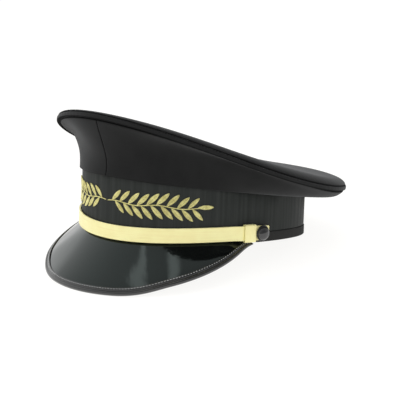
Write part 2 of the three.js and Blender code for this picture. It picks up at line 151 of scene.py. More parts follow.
@dataclass(frozen=True)
class Head:
    """The oval that the band follows, the lines round it, and the stance of the cap."""

    half_length: float = 104.0
    half_width: float = 87.0
    lean: float = 0.063
    top_middle: float = 40.9
    top_rise: float = 8.4
    foot_saddle: float = 2.93
    strap_rise: float = 3.6
    strap_saddle: float = 4.8
    strap_width: float = 12.0
    hold_from: float = 74.0
    hold_to: float = 81.0
    hold_tuck: float = 0.5
    rest_from: float = 138.0
    rest_to: float = 173.0
    tip: float = 9.081
    floor: float = -19.415
    hem_outer: float = 0.5
    hem_height: float = 8.0

    def beside(self, station: Array, offset: Array, height: Array) -> Array:
        """Points beside the band.

        Args:
            station: Angles round the head.
            offset: Distances out from the outside of the ribbon.
            height: Heights over the foot of the level band.

        Returns:
            Points of the level cap.
        """
        turn = np.radians(station)
        return vectors(
            (self.half_width + offset) * np.sin(turn),
            -(self.half_length + offset) * np.cos(turn) - self.lean * height,
            height,
        )

    def strap_foot(self, station: Array) -> Array:
        """Height of the lower edge of the chin strap."""
        return self.strap_rise * wave(1, station) - self.strap_saddle * wave(2, station)

    def band_top(self, station: Array) -> Array:
        """Height at which the crown folds over the ribbon."""
        return self.top_middle + self.top_rise * wave(1, station)

    def band_foot(self, station: Array, offset: Array) -> Array:
        """Height of the foot of the band, flat on the floor behind and tucked over the peak."""
        turn = np.abs((station % 360.0 + 540.0) % 360.0 - 180.0)
        free = -self.foot_saddle * wave(2, station)
        front = 1.0 - smooth(self.hold_from, self.hold_to, turn)
        foot = free + front * (self.strap_foot(station) + self.hold_tuck - free)
        level = self.beside(station, offset, np.zeros_like(foot))
        slope = math.radians(self.tip)
        reach = math.cos(slope) + self.lean * math.sin(slope)
        ground = (self.floor + level[..., 1] * math.sin(slope)) / reach
        return foot + smooth(self.rest_from, self.rest_to, turn) * (ground - foot)

    def over_floor(self, points: Array) -> Array:
        """Heights above the floor of points of the level cap."""
        slope = math.radians(self.tip)
        return points[..., 2] * math.cos(slope) - points[..., 1] * math.sin(slope) - self.floor

    def tipped(self, points: Array) -> Array:
        """Points of the level cap once it is tipped, in millimetres over the floor."""
        slope = math.radians(self.tip)
        along = points[..., 1] * math.cos(slope) + points[..., 2] * math.sin(slope)
        return vectors(points[..., 0], along, self.over_floor(points))

    def slide(self) -> float:
        """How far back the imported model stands, read from the highest edge of its hem."""
        foot = self.band_foot(np.array(180.0), np.array(self.hem_outer))
        corner = self.beside(np.array(180.0), np.array(self.hem_outer), foot + self.hem_height)
        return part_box("band_hem")[1].y / MM - float(self.tipped(corner)[..., 1])

    def placed(self, points: Array) -> Array:
        """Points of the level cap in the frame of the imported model, in metres."""
        moved = self.tipped(points)
        moved[..., 1] += self.slide()
        return moved * MM

    def turned(self, directions: Array) -> Array:
        """Directions on the level cap, tipped with it."""
        slope = math.radians(self.tip)
        along = directions[..., 1] * math.cos(slope) + directions[..., 2] * math.sin(slope)
        up = directions[..., 2] * math.cos(slope) - directions[..., 1] * math.sin(slope)
        return unit(vectors(directions[..., 0], along, up))


# ---------------------------------------------------------------- meshes


class Chart(Enum):
    """How the cloth coordinates lie on a piece."""

    ALONG = "lengths along the piece and across it"
    PLAN = "seen from above"


def chart_of(rows: Array, chart: Chart) -> Array:
    """Cloth coordinates in millimetres, one row and one column more than the points.

    Args:
        rows: Points, rows by points in a row.
        chart: Way of laying the coordinates.

    Returns:
        Pairs of coordinates.
    """
    again = np.concatenate([rows, rows[:1]], axis=0)
    again = np.concatenate([again, again[:, :1]], axis=1)
    if chart is Chart.PLAN:
        return again[..., :2]
    along = np.linalg.norm(np.diff(again, axis=0), axis=2).mean(axis=1)
    across = np.linalg.norm(np.diff(again, axis=1), axis=2).mean(axis=0)
    first = np.concatenate([[0.0], np.cumsum(along)])
    second = np.concatenate([[0.0], np.cumsum(across)])
    return np.stack(np.meshgrid(first, second, indexing="ij"), axis=-1)


@dataclass
class Skin:
    """Rows of points that are joined into one closed mesh."""

    name: str
    rows: Array
    loop_along: bool = True
    loop_across: bool = True
    poles: tuple[Array, Array] | None = None
    chart: Chart = Chart.ALONG
    sharp: float = 50.0
    # Painted shade at seams and folds, from 0 to 1 for each point of the rows.
    crease_shade: Array | None = None

    def quads(self) -> tuple[Array, Array]:
        """Four corners of each face between the rows, with their places in the chart."""
        count, size = self.rows.shape[:2]
        i, k = np.meshgrid(
            np.arange(count if self.loop_along else count - 1),
            np.arange(size if self.loop_across else size - 1),
            indexing="ij",
        )
        i, k = i.ravel(), k.ravel()
        places = np.stack([i, k, i + 1, k, i + 1, k + 1, i, k + 1], axis=1).reshape(-1, 4, 2)
        corners = (places[..., 0] % count) * size + places[..., 1] % size
        return corners, places

    def caps(self) -> Array:
        """Faces that close the two ends of an open run of outlines."""
        count, size = self.rows.shape[:2]
        k = np.arange(size // 2 - 1)
        near = np.stack([k, k + 1, size - 2 - k, size - 1 - k], axis=1)
        return np.concatenate([near, near[:, ::-1] + (count - 1) * size])

    def fans(self) -> tuple[Array, Array]:
        """Triangles round the two poles, with their places in the chart."""
        count, size = self.rows.shape[:2]
        k = np.arange(size)
        after = (k + 1) % size
        last = (count - 1) * size
        start = np.stack([np.full(size, count * size), k, after], axis=1)
        stop = np.stack([np.full(size, count * size + 1), last + after, last + k], axis=1)
        return start, stop

    def build(self, head: Head) -> bpy.types.Object:
        """Makes the mesh object, placed in the frame, with its faces outward.

        Args:
            head: The head, which places the points.

        Returns:
            The new object, in the scene.
        """
        points = self.rows.reshape(-1, 3)
        if self.poles is not None:
            points = np.concatenate([points, np.stack(self.poles)])
        corners, places = self.quads()
        chart = chart_of(self.rows, self.chart)
        spots = chart[places[..., 0], places[..., 1]]
        faces = corners.tolist()
        lays = list(spots.reshape(-1, 2))
        flat = chart[:-1, :-1].reshape(-1, 2)
        extra: list[list[int]] = []
        if self.poles is not None:
            flat = np.concatenate([flat, np.stack(self.poles)[:, :2]])
            start, stop = self.fans()
            extra = start.tolist() + stop.tolist()
        elif not self.loop_along:
            extra = self.caps().tolist()
        lays += [flat[corner] for face in extra for corner in face]
        faces += extra
        mesh = bpy.data.meshes.new(self.name)
        mesh.from_pydata(head.placed(points).tolist(), [], faces)
        layer = mesh.uv_layers.new(name=CLOTH_MAP)
        layer.data.foreach_set("uv", np.asarray(lays, np.float32).ravel())
        # Keeps the painted shade of seams and folds on the points, none on the poles.
        if self.crease_shade is not None:
            depth = np.zeros(len(points), np.float32)
            depth[: self.crease_shade.size] = self.crease_shade.ravel()
            mesh.attributes.new(CREASE_SHADE, "FLOAT", "POINT").data.foreach_set("value", depth)
        if signed_volume(mesh) < 0.0:
            mesh.flip_normals()
        mesh.shade_smooth()
        mesh.set_sharp_from_angle(angle=math.radians(self.sharp))
        return in_scene(bpy.data.objects.new(self.name, mesh))


def signed_volume(mesh: bpy.types.Mesh) -> float:
    """Volume inside a closed mesh, below zero where its faces point inward."""
    mesh.calc_loop_triangles()
    corners = np.empty(len(mesh.loop_triangles) * 3, np.int32)
    mesh.loop_triangles.foreach_get("vertices", corners)
    points = np.empty(len(mesh.vertices) * 3, np.float32)
    mesh.vertices.foreach_get("co", points)
    a, b, c = points.reshape(-1, 3)[corners.reshape(-1, 3)].transpose(1, 0, 2).astype(float)
    return float(np.einsum("ij,ij->", a, np.cross(b, c)) / 6.0)


def in_scene(thing: bpy.types.Object) -> bpy.types.Object:
    """The object, linked into the scene."""
    bpy.context.scene.collection.objects.link(thing)
    return thing


def finished(piece: bpy.types.Object, slot: str, *nodes: str) -> bpy.types.Object:
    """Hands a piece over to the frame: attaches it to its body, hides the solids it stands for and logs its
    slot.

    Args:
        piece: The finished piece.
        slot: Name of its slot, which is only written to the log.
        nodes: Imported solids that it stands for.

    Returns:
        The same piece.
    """
    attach(piece, BODY)
    if nodes:
        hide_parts(*nodes)
    log.info("%s: %d faces, %s", piece.name, len(piece.data.polygons), slot)
    return piece


# ---------------------------------------------------------------- node trees


class Wire:
    """A value in a node tree, on which arithmetic adds Math nodes."""

    def __init__(self, tree: "Tree", socket: bpy.types.NodeSocket) -> None:
        """Keeps the tree and the socket that gives the value."""
        self.tree = tree
        self.socket = socket

    def maths(self, operation: str, *values: Any) -> "Wire":
        """A Math node's result on these values."""
        return self.tree.wire("ShaderNodeMath", {"operation": operation}, dict(enumerate(values)))

    def __add__(self, other: Any) -> "Wire":
        """Sum."""
        return self.maths("ADD", self, other)

    def __radd__(self, other: Any) -> "Wire":
        """Sum, from the other side."""
        return self.maths("ADD", other, self)

    def __sub__(self, other: Any) -> "Wire":
        """Difference."""
        return self.maths("SUBTRACT", self, other)

    def __rsub__(self, other: Any) -> "Wire":
        """Difference, from the other side."""
        return self.maths("SUBTRACT", other, self)

    def __mul__(self, other: Any) -> "Wire":
        """Product."""
        return self.maths("MULTIPLY", self, other)

    def __rmul__(self, other: Any) -> "Wire":
        """Product, from the other side."""
        return self.maths("MULTIPLY", other, self)

    def __truediv__(self, other: Any) -> "Wire":
        """Quotient."""
        return self.maths("DIVIDE", self, other)

    def __rtruediv__(self, other: Any) -> "Wire":
        """Quotient, from the other side."""
        return self.maths("DIVIDE", other, self)

    def __pow__(self, other: Any) -> "Wire":
        """Power."""
        return self.maths("POWER", self, other)

    def sine(self) -> "Wire":
        """Sine of the value in radians."""
        return self.maths("SINE", self)

    def size(self) -> "Wire":
        """The value without its sign."""
        return self.maths("ABSOLUTE", self)

    def ramp(self, start: float, stop: float) -> "Wire":
        """Even ramp from 0 at start to 1 at stop."""
        return self.tree.wire(
            "ShaderNodeMapRange",
            {"interpolation_type": "SMOOTHSTEP"},
            {"Value": self, "From Min": start, "From Max": stop},
        )


class Tree:
    """A node tree under construction."""

    def __init__(self, tree: bpy.types.NodeTree) -> None:
        """Starts on an existing tree, emptied."""
        self.tree = tree
        tree.nodes.clear()

    def node(self, kind: str, settings: dict | None = None, inputs: dict | None = None) -> bpy.types.Node:
        """Adds a node.

        Args:
            kind: Type of the node.
            settings: Its own properties, set first.
            inputs: Values or links of its sockets, by name or by number.

        Returns:
            The node.
        """
        made = self.tree.nodes.new(kind)
        for name, value in (settings or {}).items():
            setattr(made, name, value)
        for name, value in (inputs or {}).items():
            socket = made.inputs[name]
            if isinstance(value, Wire):
                self.tree.links.new(value.socket, socket)
            else:
                socket.default_value = value
        return made

    def wire(
        self,
        kind: str,
        settings: dict | None = None,
        inputs: dict | None = None,
        output: str | int = 0,
    ) -> Wire:
        """Adds a node and gives one of its outputs.

        Args:
            kind: Type of the node.
            settings: Its own properties.
            inputs: Values or links of its sockets.
            output: The output wanted, by name or number.

        Returns:
            That output.
        """
        return Wire(self, self.node(kind, settings, inputs).outputs[output])

    def parts(self, vector: Wire) -> tuple[Wire, Wire, Wire]:
        """The three numbers of a vector."""
        split = self.node("ShaderNodeSeparateXYZ", None, {0: vector})
        return tuple(Wire(self, split.outputs[i]) for i in range(3))

    def joined(self, x: Any, y: Any, z: Any) -> Wire:
        """A vector from three numbers."""
        return self.wire("ShaderNodeCombineXYZ", None, {0: x, 1: y, 2: z})


class Paint(Tree):
    """The shader tree of one material."""

    def __init__(self, name: str) -> None:
        """Starts a new material with this name."""
        self.material = bpy.data.materials.new(name)
        self.material.use_nodes = True
        super().__init__(self.material.node_tree)

    def cloth(self) -> tuple[Wire, Wire]:
        """Cloth coordinates in millimetres: along the piece and across it."""
        chart = self.wire("ShaderNodeUVMap", {"uv_map": CLOTH_MAP})
        along, across, _ = self.parts(chart)
        return along, across

    def place(self) -> Wire:
        """Object coordinates, in metres."""
        return self.wire("ShaderNodeTexCoord", None, None, "Object")

    def noise(self, vector: Wire, scale: float, detail: float = 3.0, rough: float = 0.5) -> Wire:
        """Noise from 0 to 1 at a vector."""
        settings = {"noise_dimensions": "3D"}
        inputs = {"Vector": vector, "Scale": scale, "Detail": detail, "Roughness": rough}
        return self.wire("ShaderNodeTexNoise", settings, inputs, 0)

    def mixed(self, share: Wire, first: Sequence[float], second: Sequence[float]) -> Wire:
        """Colour between two, by share."""
        node = self.node("ShaderNodeMix", {"data_type": "RGBA"}, {0: share})
        node.inputs[6].default_value = (*first, 1.0)
        node.inputs[7].default_value = (*second, 1.0)
        return Wire(self, node.outputs[2])

    def raised(self, height: Wire, depth: float, strength: float = 1.0) -> Wire:
        """Normal of a surface raised by a height from 0 to 1, depth in metres."""
        inputs = {"Height": height, "Distance": depth, "Strength": strength}
        return self.wire("ShaderNodeBump", None, inputs)

    def facing(self) -> Wire:
        """0 where the surface faces the eye, 1 where it is seen edge on."""
        return self.wire("ShaderNodeLayerWeight", None, {"Blend": 0.5}, "Facing")

    def surface(self, shaded: bool = False, **sockets: Any) -> bpy.types.Material:
        """Ends the tree in a Principled shader with these sockets, underscores for spaces.

        Args:
            shaded: Whether painted shade darkens it at seams and folds, by mixing in a near-black diffuse
                shader as far as the crease attribute of the mesh says.
            sockets: Values or links of the shader's sockets.

        Returns:
            The finished material.
        """
        inputs = {name.replace("_", " "): value for name, value in sockets.items()}
        shader = self.wire("ShaderNodeBsdfPrincipled", None, inputs)
        if shaded:
            # Painted shade: a near-black diffuse shader, mixed in as far as the crease attribute says.
            crease_shade = self.wire("ShaderNodeAttribute", {"attribute_name": CREASE_SHADE}, None, "Fac")
            painted_shade_bsdf = self.wire("ShaderNodeBsdfDiffuse", None, {"Color": (0.002, 0.002, 0.002, 1.0)})
            shader = self.wire("ShaderNodeMixShader", None, {0: crease_shade, 1: shader, 2: painted_shade_bsdf})
        self.node("ShaderNodeOutputMaterial", None, {"Surface": shader})
        return self.material


# ---------------------------------------------------------------- finishes


Colour = tuple[float, float, float]


@dataclass(frozen=True)
class TwillCloth:
    """Dull black wool twill: slanting ribs, a little nap and a faint sheen; painted sheen lightens its colour
    where it is seen edge on, and painted shade darkens its seams and folds.
    """

    name: str = "wool_twill"
    dark: Colour = (0.0092, 0.0094, 0.0094)
    # The light colour is mostly painted sheen, reached only where the cloth is seen edge on.
    light: Colour = (0.075, 0.076, 0.077)
    rib: float = 0.95
    depth: float = 0.00009
    bloom: float = 0.10

    def material(self) -> bpy.types.Material:
        """Builds the material."""
        paint = Paint(self.name)
        along, across = paint.cloth()
        turn = 2.0 * math.pi / self.rib
        ribs = ((along + across * 1.6) * (turn * 0.53)).sine() * 0.5 + 0.5
        picks = ((across - along * 0.4) * (turn * 1.35)).sine() * 0.5 + 0.5
        spot = paint.joined(along, across, 0.0)
        nap = paint.noise(spot, 1.7, 4.0, 0.62)
        cloud = paint.noise(spot, 0.045, 2.0)
        wear = cloud.ramp(0.3, 0.7) * 0.04 + nap.ramp(0.25, 0.75) * 0.045 + ribs * picks * 0.03
        # Painted sheen: on top of the wear marks, the colour lightens towards light where the cloth is seen
        # edge on.
        shade = wear + paint.facing() ** 2.2 * 0.55
        height = ribs * 0.5 + ribs * picks * 0.2 + nap * 0.3
        return paint.surface(
            Base_Color=paint.mixed(shade, self.dark, self.light),
            Roughness=nap * 0.12 + 0.8,
            Normal=paint.raised(height, self.depth, 0.55),
            Specular_IOR_Level=0.16,
            Sheen_Weight=self.bloom,
            Sheen_Roughness=0.34,
            Sheen_Tint=(0.85, 0.87, 0.9, 1.0),
            # Painted shade at seams and folds, from the mesh's crease attribute.
            shaded=True,
        )


@dataclass(frozen=True)
class PlainCloth:
    """Close plain weave, for the hem and for the stiff board inside the band."""

    name: str
    dark: Colour
    light: Colour
    thread: float = 0.55
    depth: float = 0.00008

    def material(self) -> bpy.types.Material:
        """Builds the material."""
        paint = Paint(self.name)
        along, across = paint.cloth()
        turn = math.pi / self.thread
        warp = (along * turn).sine()
        weft = (across * turn).sine()
        weave = warp * weft * 0.5 + 0.5
        fuzz = paint.noise(paint.joined(along, across, 0.0), 0.9, 4.0, 0.6)
        return paint.surface(
            Base_Color=paint.mixed(weave * 0.4 + fuzz * 0.6, self.dark, self.light),
            Roughness=fuzz * 0.1 + 0.82,
            Normal=paint.raised(weave * 0.7 + fuzz * 0.3, self.depth, 0.6),
            Specular_IOR_Level=0.2,
        )


@dataclass(frozen=True)
class RibbedRibbon:
    """Black petersham ribbon: upright ribs with a satin face and uneven upright streaks."""

    name: str = "ribbed_ribbon"
    dark: Colour = (0.0170, 0.0192, 0.0179)
    light: Colour = (0.0368, 0.0400, 0.0379)
    thread: float = 0.30
    depth: float = 0.00003

    def material(self) -> bpy.types.Material:
        """Builds the material."""
        paint = Paint(self.name)
        along, across = paint.cloth()
        streaks = paint.noise(paint.joined(along, across * 0.02, 0.0), 0.24, 3.0, 0.6)
        fine = paint.noise(paint.joined(along, across * 0.08, 0.0), 1.6, 2.0, 0.5)
        weft = (across * (2.0 * math.pi / self.thread)).sine() * 0.5 + 0.5
        shade = streaks.ramp(0.3, 0.72) * 0.45 + fine * 0.3 + 0.12
        return paint.surface(
            Base_Color=paint.mixed(shade, self.dark, self.light),
            Roughness=0.66 - streaks.ramp(0.3, 0.72) * 0.12,
            Normal=paint.raised(weft * 0.5 + fine * 0.5, self.depth, 0.5),
            Specular_IOR_Level=0.11,
        )


@dataclass(frozen=True)
class Patent:
    """Black patent: a deep clear gloss, very slightly uneven, with a few faint hairlines."""

    name: str = "patent"
    colour: Colour = (0.0036, 0.0042, 0.0041)
    worn: Colour = (0.010, 0.0115, 0.011)
    sheen: Colour = (0.84, 1.0, 0.96)
    gloss: float = 0.045

    def material(self) -> bpy.types.Material:
        """Builds the material."""
        paint = Paint(self.name)
        place = paint.place()
        peel = paint.noise(place, 190.0, 2.0)
        broad = paint.noise(place, 22.0, 2.0)
        along, across = paint.cloth()
        hairs = paint.noise(paint.joined(along * 0.05, across * 1.4, 0.0), 3.0, 4.0, 0.7)
        scuff = hairs.ramp(0.66, 0.8) * broad.ramp(0.45, 0.7)
        return paint.surface(
            Base_Color=paint.mixed(scuff * 0.6, self.colour, self.worn),
            Roughness=scuff * 0.10 + broad * 0.02 + self.gloss,
            Normal=paint.raised(peel * 0.1 + broad * 0.4, 0.0003, 1.0),
            Specular_IOR_Level=0.52,
            Specular_Tint=(*self.sheen, 1.0),
            IOR=1.5,
        )


@dataclass(frozen=True)
class Edging:
    """Softer black patent of the bound edge, finely grained and dulled on the roll."""

    name: str = "edging"
    colour: Colour = (0.006, 0.0068, 0.0068)
    worn: Colour = (0.018, 0.019, 0.019)

    def material(self) -> bpy.types.Material:
        """Builds the material."""
        paint = Paint(self.name)
        place = paint.place()
        grain = paint.noise(place, 900.0, 3.0)
        rub = paint.noise(place, 60.0, 4.0, 0.6).ramp(0.4, 0.7)
        return paint.surface(
            Base_Color=paint.mixed(rub * 0.6 + grain * 0.2, self.colour, self.worn),
            Roughness=rub * 0.07 + 0.11,
            Normal=paint.raised(grain, 0.00006, 0.3),
            Specular_IOR_Level=0.9,
        )


@dataclass(frozen=True)
class StrawGold:
    """Pale straw gold of the strap: a soft metal sheen with fine lengthwise lines."""

    name: str = "straw_gold"
    deep: Colour = (0.87, 0.765, 0.35)
    pale: Colour = (0.95, 0.905, 0.465)

    def material(self) -> bpy.types.Material:
        """Builds the material."""
        paint = Paint(self.name)
        along, across = paint.cloth()
        lines = paint.noise(paint.joined(along * 0.012, across, 0.0), 1.9, 4.0, 0.65)
        fine = paint.noise(paint.joined(along * 0.05, across, 0.0), 6.5, 2.0)
        cloud = paint.noise(paint.joined(along, across, 0.0), 0.07, 3.0)
        shade = lines.ramp(0.28, 0.6) * 0.6 + cloud.ramp(0.3, 0.65) * 0.4
        return paint.surface(
            Base_Color=paint.mixed(shade, self.deep, self.pale),
            Roughness=0.48 - fine * 0.12,
            Metallic=0.2,
            Normal=paint.raised(lines * 0.5 + fine * 0.5, 0.00004, 0.4),
            Specular_IOR_Level=0.5,
        )


@dataclass(frozen=True)
class GoldThread:
    """Gold embroidery thread, twisted and a little greener than the strap."""

    name: str = "gold_thread"
    deep: Colour = (0.52, 0.46, 0.15)
    bright: Colour = (0.95, 0.90, 0.42)

    def material(self) -> bpy.types.Material:
        """Builds the material."""
        paint = Paint(self.name)
        place = paint.place()
        twist = paint.noise(place, 2600.0, 2.0)
        patch = paint.noise(place, 240.0, 3.0)
        shade = twist.ramp(0.3, 0.7) * 0.5 + patch.ramp(0.3, 0.65) * 0.5
        return paint.surface(
            Base_Color=paint.mixed(shade, self.deep, self.bright),
            Roughness=0.5 - twist * 0.15,
            Metallic=0.2,
            Normal=paint.raised(twist, 0.00005, 0.6),
        )


@dataclass(frozen=True)
class BlackThread:
    """Waxed black sewing thread, coloured mid to light grey as painted highlight that stands for its glints.
    """

    name: str = "black_thread_painted_glints"
    # Painted highlight: both colours are far lighter than black thread, so the stitches show as bright
    # dashes.
    dark: Colour = (0.18, 0.185, 0.185)
    light: Colour = (0.62, 0.63, 0.63)

    def material(self) -> bpy.types.Material:
        """Builds the material."""
        paint = Paint(self.name)
        twist = paint.noise(paint.place(), 3000.0, 2.0)
        return paint.surface(
            Base_Color=paint.mixed(twist, self.dark, self.light),
            Roughness=0.42 - twist * 0.1,
            Normal=paint.raised(twist, 0.00004, 0.5),
        )


@dataclass(frozen=True)
class ButtonGloss:
    """Moulded black button with a polished dome and faint rubbing."""

    name: str = "button_gloss"
    colour: Colour = (0.024, 0.024, 0.025)
    worn: Colour = (0.04, 0.04, 0.041)

    def material(self) -> bpy.types.Material:
        """Builds the material."""
        paint = Paint(self.name)
        place = paint.place()
        rub = paint.noise(place, 320.0, 4.0, 0.65).ramp(0.5, 0.8)
        swirl = paint.noise(place, 150.0, 1.0)
        return paint.surface(
            Base_Color=paint.mixed(rub * 0.6, self.colour, self.worn),
            Roughness=rub * 0.12 + 0.07,
            Normal=paint.raised(swirl, 0.0002, 0.08),
            Specular_IOR_Level=0.8,
        )


@dataclass(frozen=True)
class StudioFloor:
    """Plain white studio floor."""

    name: str = "studio_floor"
    colour: Colour = (0.15, 0.15, 0.15)
    glow: float = 0.92

    def material(self) -> bpy.types.Material:
        """Builds the material."""
        paint = Paint(self.name)
        cloud = paint.noise(paint.place(), 3.0, 3.0)
        darker = tuple(0.985 * part for part in self.colour)
        return paint.surface(
            Base_Color=paint.mixed(cloud, darker, self.colour),
            Roughness=0.9,
            Emission_Color=(1.0, 0.993, 0.978, 1.0),
            Emission_Strength=self.glow,
            Specular_IOR_Level=0.0,
        )


# ---------------------------------------------------------------- stitches by rule


class Knots(Tree):
    """A geometry tree with named inputs, run once on a piece and then dropped."""

    def __init__(self, name: str) -> None:
        """Starts a new geometry tree with one geometry input and one output."""
        super().__init__(bpy.data.node_groups.new(name, "GeometryNodeTree"))
        face = self.tree.interface
        face.new_socket("Geometry", in_out="INPUT", socket_type="NodeSocketGeometry")
        face.new_socket("Geometry", in_out="OUTPUT", socket_type="NodeSocketGeometry")
        self.start: bpy.types.Node | None = None

    def named(self, **kinds: str) -> dict[str, Wire]:
        """Adds named inputs.

        Args:
            kinds: Kind of each input's socket, such as Float, Int or Material.

        Returns:
            The geometry and the inputs, by name.
        """
        for name, kind in kinds.items():
            self.tree.interface.new_socket(name, in_out="INPUT", socket_type="NodeSocket" + kind)
        start = self.node("NodeGroupInput")
        return {name: Wire(self, start.outputs[name]) for name in ("Geometry", *kinds)}

    def attribute(self, name: str, kind: str = "FLOAT_VECTOR") -> Wire:
        """A named attribute of the points."""
        return self.wire("GeometryNodeInputNamedAttribute", {"data_type": kind}, {"Name": name})

    def standing(self, up: Wire, along: Wire) -> Wire:
        """Rotation that turns Z to one direction and X towards another."""
        settings = {"primary_axis": "Z", "secondary_axis": "X"}
        return self.wire("FunctionNodeAxesToRotation", settings, {0: up, 1: along})

    def close(self, geometry: Wire, thread: Wire) -> bpy.types.NodeTree:
        """Ends the tree: makes the instances real, smooth and dressed in the thread.

        Args:
            geometry: What the tree has made.
            thread: The material of it.

        Returns:
            The finished tree.
        """
        real = self.wire("GeometryNodeRealizeInstances", None, {0: geometry})
        even = self.wire("GeometryNodeSetShadeSmooth", None, {"Geometry": real})
        dressed = self.wire("GeometryNodeSetMaterial", None, {"Geometry": even, "Material": thread})
        self.node("NodeGroupOutput", None, {0: dressed})
        return self.tree


def run_of_stitches() -> bpy.types.NodeTree:
    """Tree that lays stitches of one length at an even pitch along a path.

    Returns:
        The tree. Its path is a mesh of edges whose points carry the attribute "facing".
    """
    knots = Knots("run_of_stitches")
    given = knots.named(Pitch="Float", Length="Float", Width="Float", Slant="Float", Thread="Material")
    curve = knots.wire("GeometryNodeMeshToCurve", None, {0: given["Geometry"]})
    spaced = knots.wire(
        "GeometryNodeResampleCurve", {"mode": "LENGTH"}, {"Curve": curve, "Length": given["Pitch"]}
    )
    up = knots.attribute("facing")
    ahead = knots.wire("GeometryNodeInputTangent")
    turned = knots.wire(
        "ShaderNodeVectorRotate",
        {"rotation_type": "AXIS_ANGLE"},
        {"Vector": ahead, "Axis": up, "Angle": given["Slant"]},
    )
    bead = knots.wire("GeometryNodeMeshUVSphere", None, {"Segments": 8, "Rings": 6, "Radius": 0.5})
    size = knots.joined(given["Length"], given["Width"], given["Width"])
    laid = knots.wire(
        "GeometryNodeInstanceOnPoints",
        None,
        {"Points": spaced, "Instance": bead, "Rotation": knots.standing(up, turned), "Scale": size},
    )
    return knots.close(laid, given["Thread"])


def satin_leaves() -> bpy.types.NodeTree:
    """Tree that fills leaves with slanting satin stitches on both sides of a middle line.

    Returns:
        The tree. Its points carry "facing", "heading" and "size".
    """
    knots = Knots("satin_leaves")
    given = knots.named(
        Stitches="Int",
        Length="Float",
        Breadth="Float",
        Rise="Float",
        Width="Float",
        Slant="Float",
        Thread="Material",
    )
    arc = knots.wire(
        "GeometryNodeCurveQuadraticBezier",
        None,
        {
            "Resolution": 4,
            "Start": knots.joined(0.0, 0.0, given["Rise"] * 0.25),
            "Middle": knots.joined(0.45, 0.0, given["Rise"] * 1.6),
            "End": (1.0, 0.0, 0.0),
        },
    )
    ring = knots.wire(
        "GeometryNodeCurvePrimitiveCircle", None, {"Resolution": 5, "Radius": given["Width"] * 0.5}
    )
    strand = knots.wire(
        "GeometryNodeCurveToMesh", None, {"Curve": arc, "Profile Curve": ring, "Fill Caps": True}
    )
    step = knots.joined(given["Length"] / given["Stitches"], 0.0, 0.0)
    spine = knots.wire(
        "GeometryNodeMeshLine", None, {"Count": given["Stitches"], "Offset": step}
    )
    order = knots.wire("GeometryNodeInputIndex")
    share = (order + 0.5) / given["Stitches"]
    swell = ((share**0.8) * math.pi).sine() ** 0.75
    scale = knots.joined(swell * given["Breadth"] * 0.5, 1.0, 1.0)
    halves = []
    for side in (1.0, -1.0):
        angle = knots.joined(0.0, 0.0, given["Slant"] * side)
        halves.append(
            knots.wire(
                "GeometryNodeInstanceOnPoints",
                None,
                {"Points": spine, "Instance": strand, "Rotation": angle, "Scale": scale},
            )
        )
    leaf = knots.node("GeometryNodeJoinGeometry")
    for half in halves:
        knots.tree.links.new(half.socket, leaf.inputs[0])
    laid = knots.wire(
        "GeometryNodeInstanceOnPoints",
        None,
        {
            "Points": given["Geometry"],
            "Instance": Wire(knots, leaf.outputs[0]),
            "Rotation": knots.standing(knots.attribute("facing"), knots.attribute("heading")),
            "Scale": knots.attribute("size", "FLOAT"),
        },
    )
    return knots.close(laid, given["Thread"])


@dataclass
class Guide:
    """Points that carry directions, on which a tree lays its stitches."""

    name: str
    points: Array
    facing: Array
    heading: Array | None = None
    size: Array | None = None
    joined: bool = False

    def sewn(self, tree: bpy.types.NodeTree, **values: Any) -> bpy.types.Object:
        """Runs the tree on the points and keeps what it makes as a plain mesh.

        Args:
            tree: The tree.
            values: Its named inputs.

        Returns:
            The new piece, in the scene.
        """
        count = len(self.points)
        edges = [(i, i + 1) for i in range(count - 1)] if self.joined else []
        base = bpy.data.meshes.new(self.name + "_guide")
        base.from_pydata(self.points.tolist(), edges, [])
        for name, rows in (("facing", self.facing), ("heading", self.heading)):
            if rows is not None:
                layer = base.attributes.new(name, "FLOAT_VECTOR", "POINT")
                layer.data.foreach_set("vector", rows.astype(np.float32).ravel())
        if self.size is not None:
            layer = base.attributes.new("size", "FLOAT", "POINT")
            layer.data.foreach_set("value", self.size.astype(np.float32))
        holder = in_scene(bpy.data.objects.new(self.name + "_guide", base))
        modifier = holder.modifiers.new("stitches", "NODES")
        modifier.node_group = tree
        for item in tree.interface.items_tree:
            if item.item_type == "SOCKET" and item.in_out == "INPUT" and item.name in values:
                modifier[item.identifier] = values[item.name]
        bpy.context.view_layer.update()
        made = holder.evaluated_get(bpy.context.evaluated_depsgraph_get())
        mesh = bpy.data.meshes.new_from_object(made)
        mesh.name = self.name
        bpy.data.objects.remove(holder)
        return in_scene(bpy.data.objects.new(self.name, mesh))


# ---------------------------------------------------------------- the crown


@dataclass(frozen=True)
class WallRow:
    """How the crown wall leaves the band and meets the rim at a station."""

    station: float
    leave: float
    arrive: float
    leave_hold: float
    arrive_hold: float


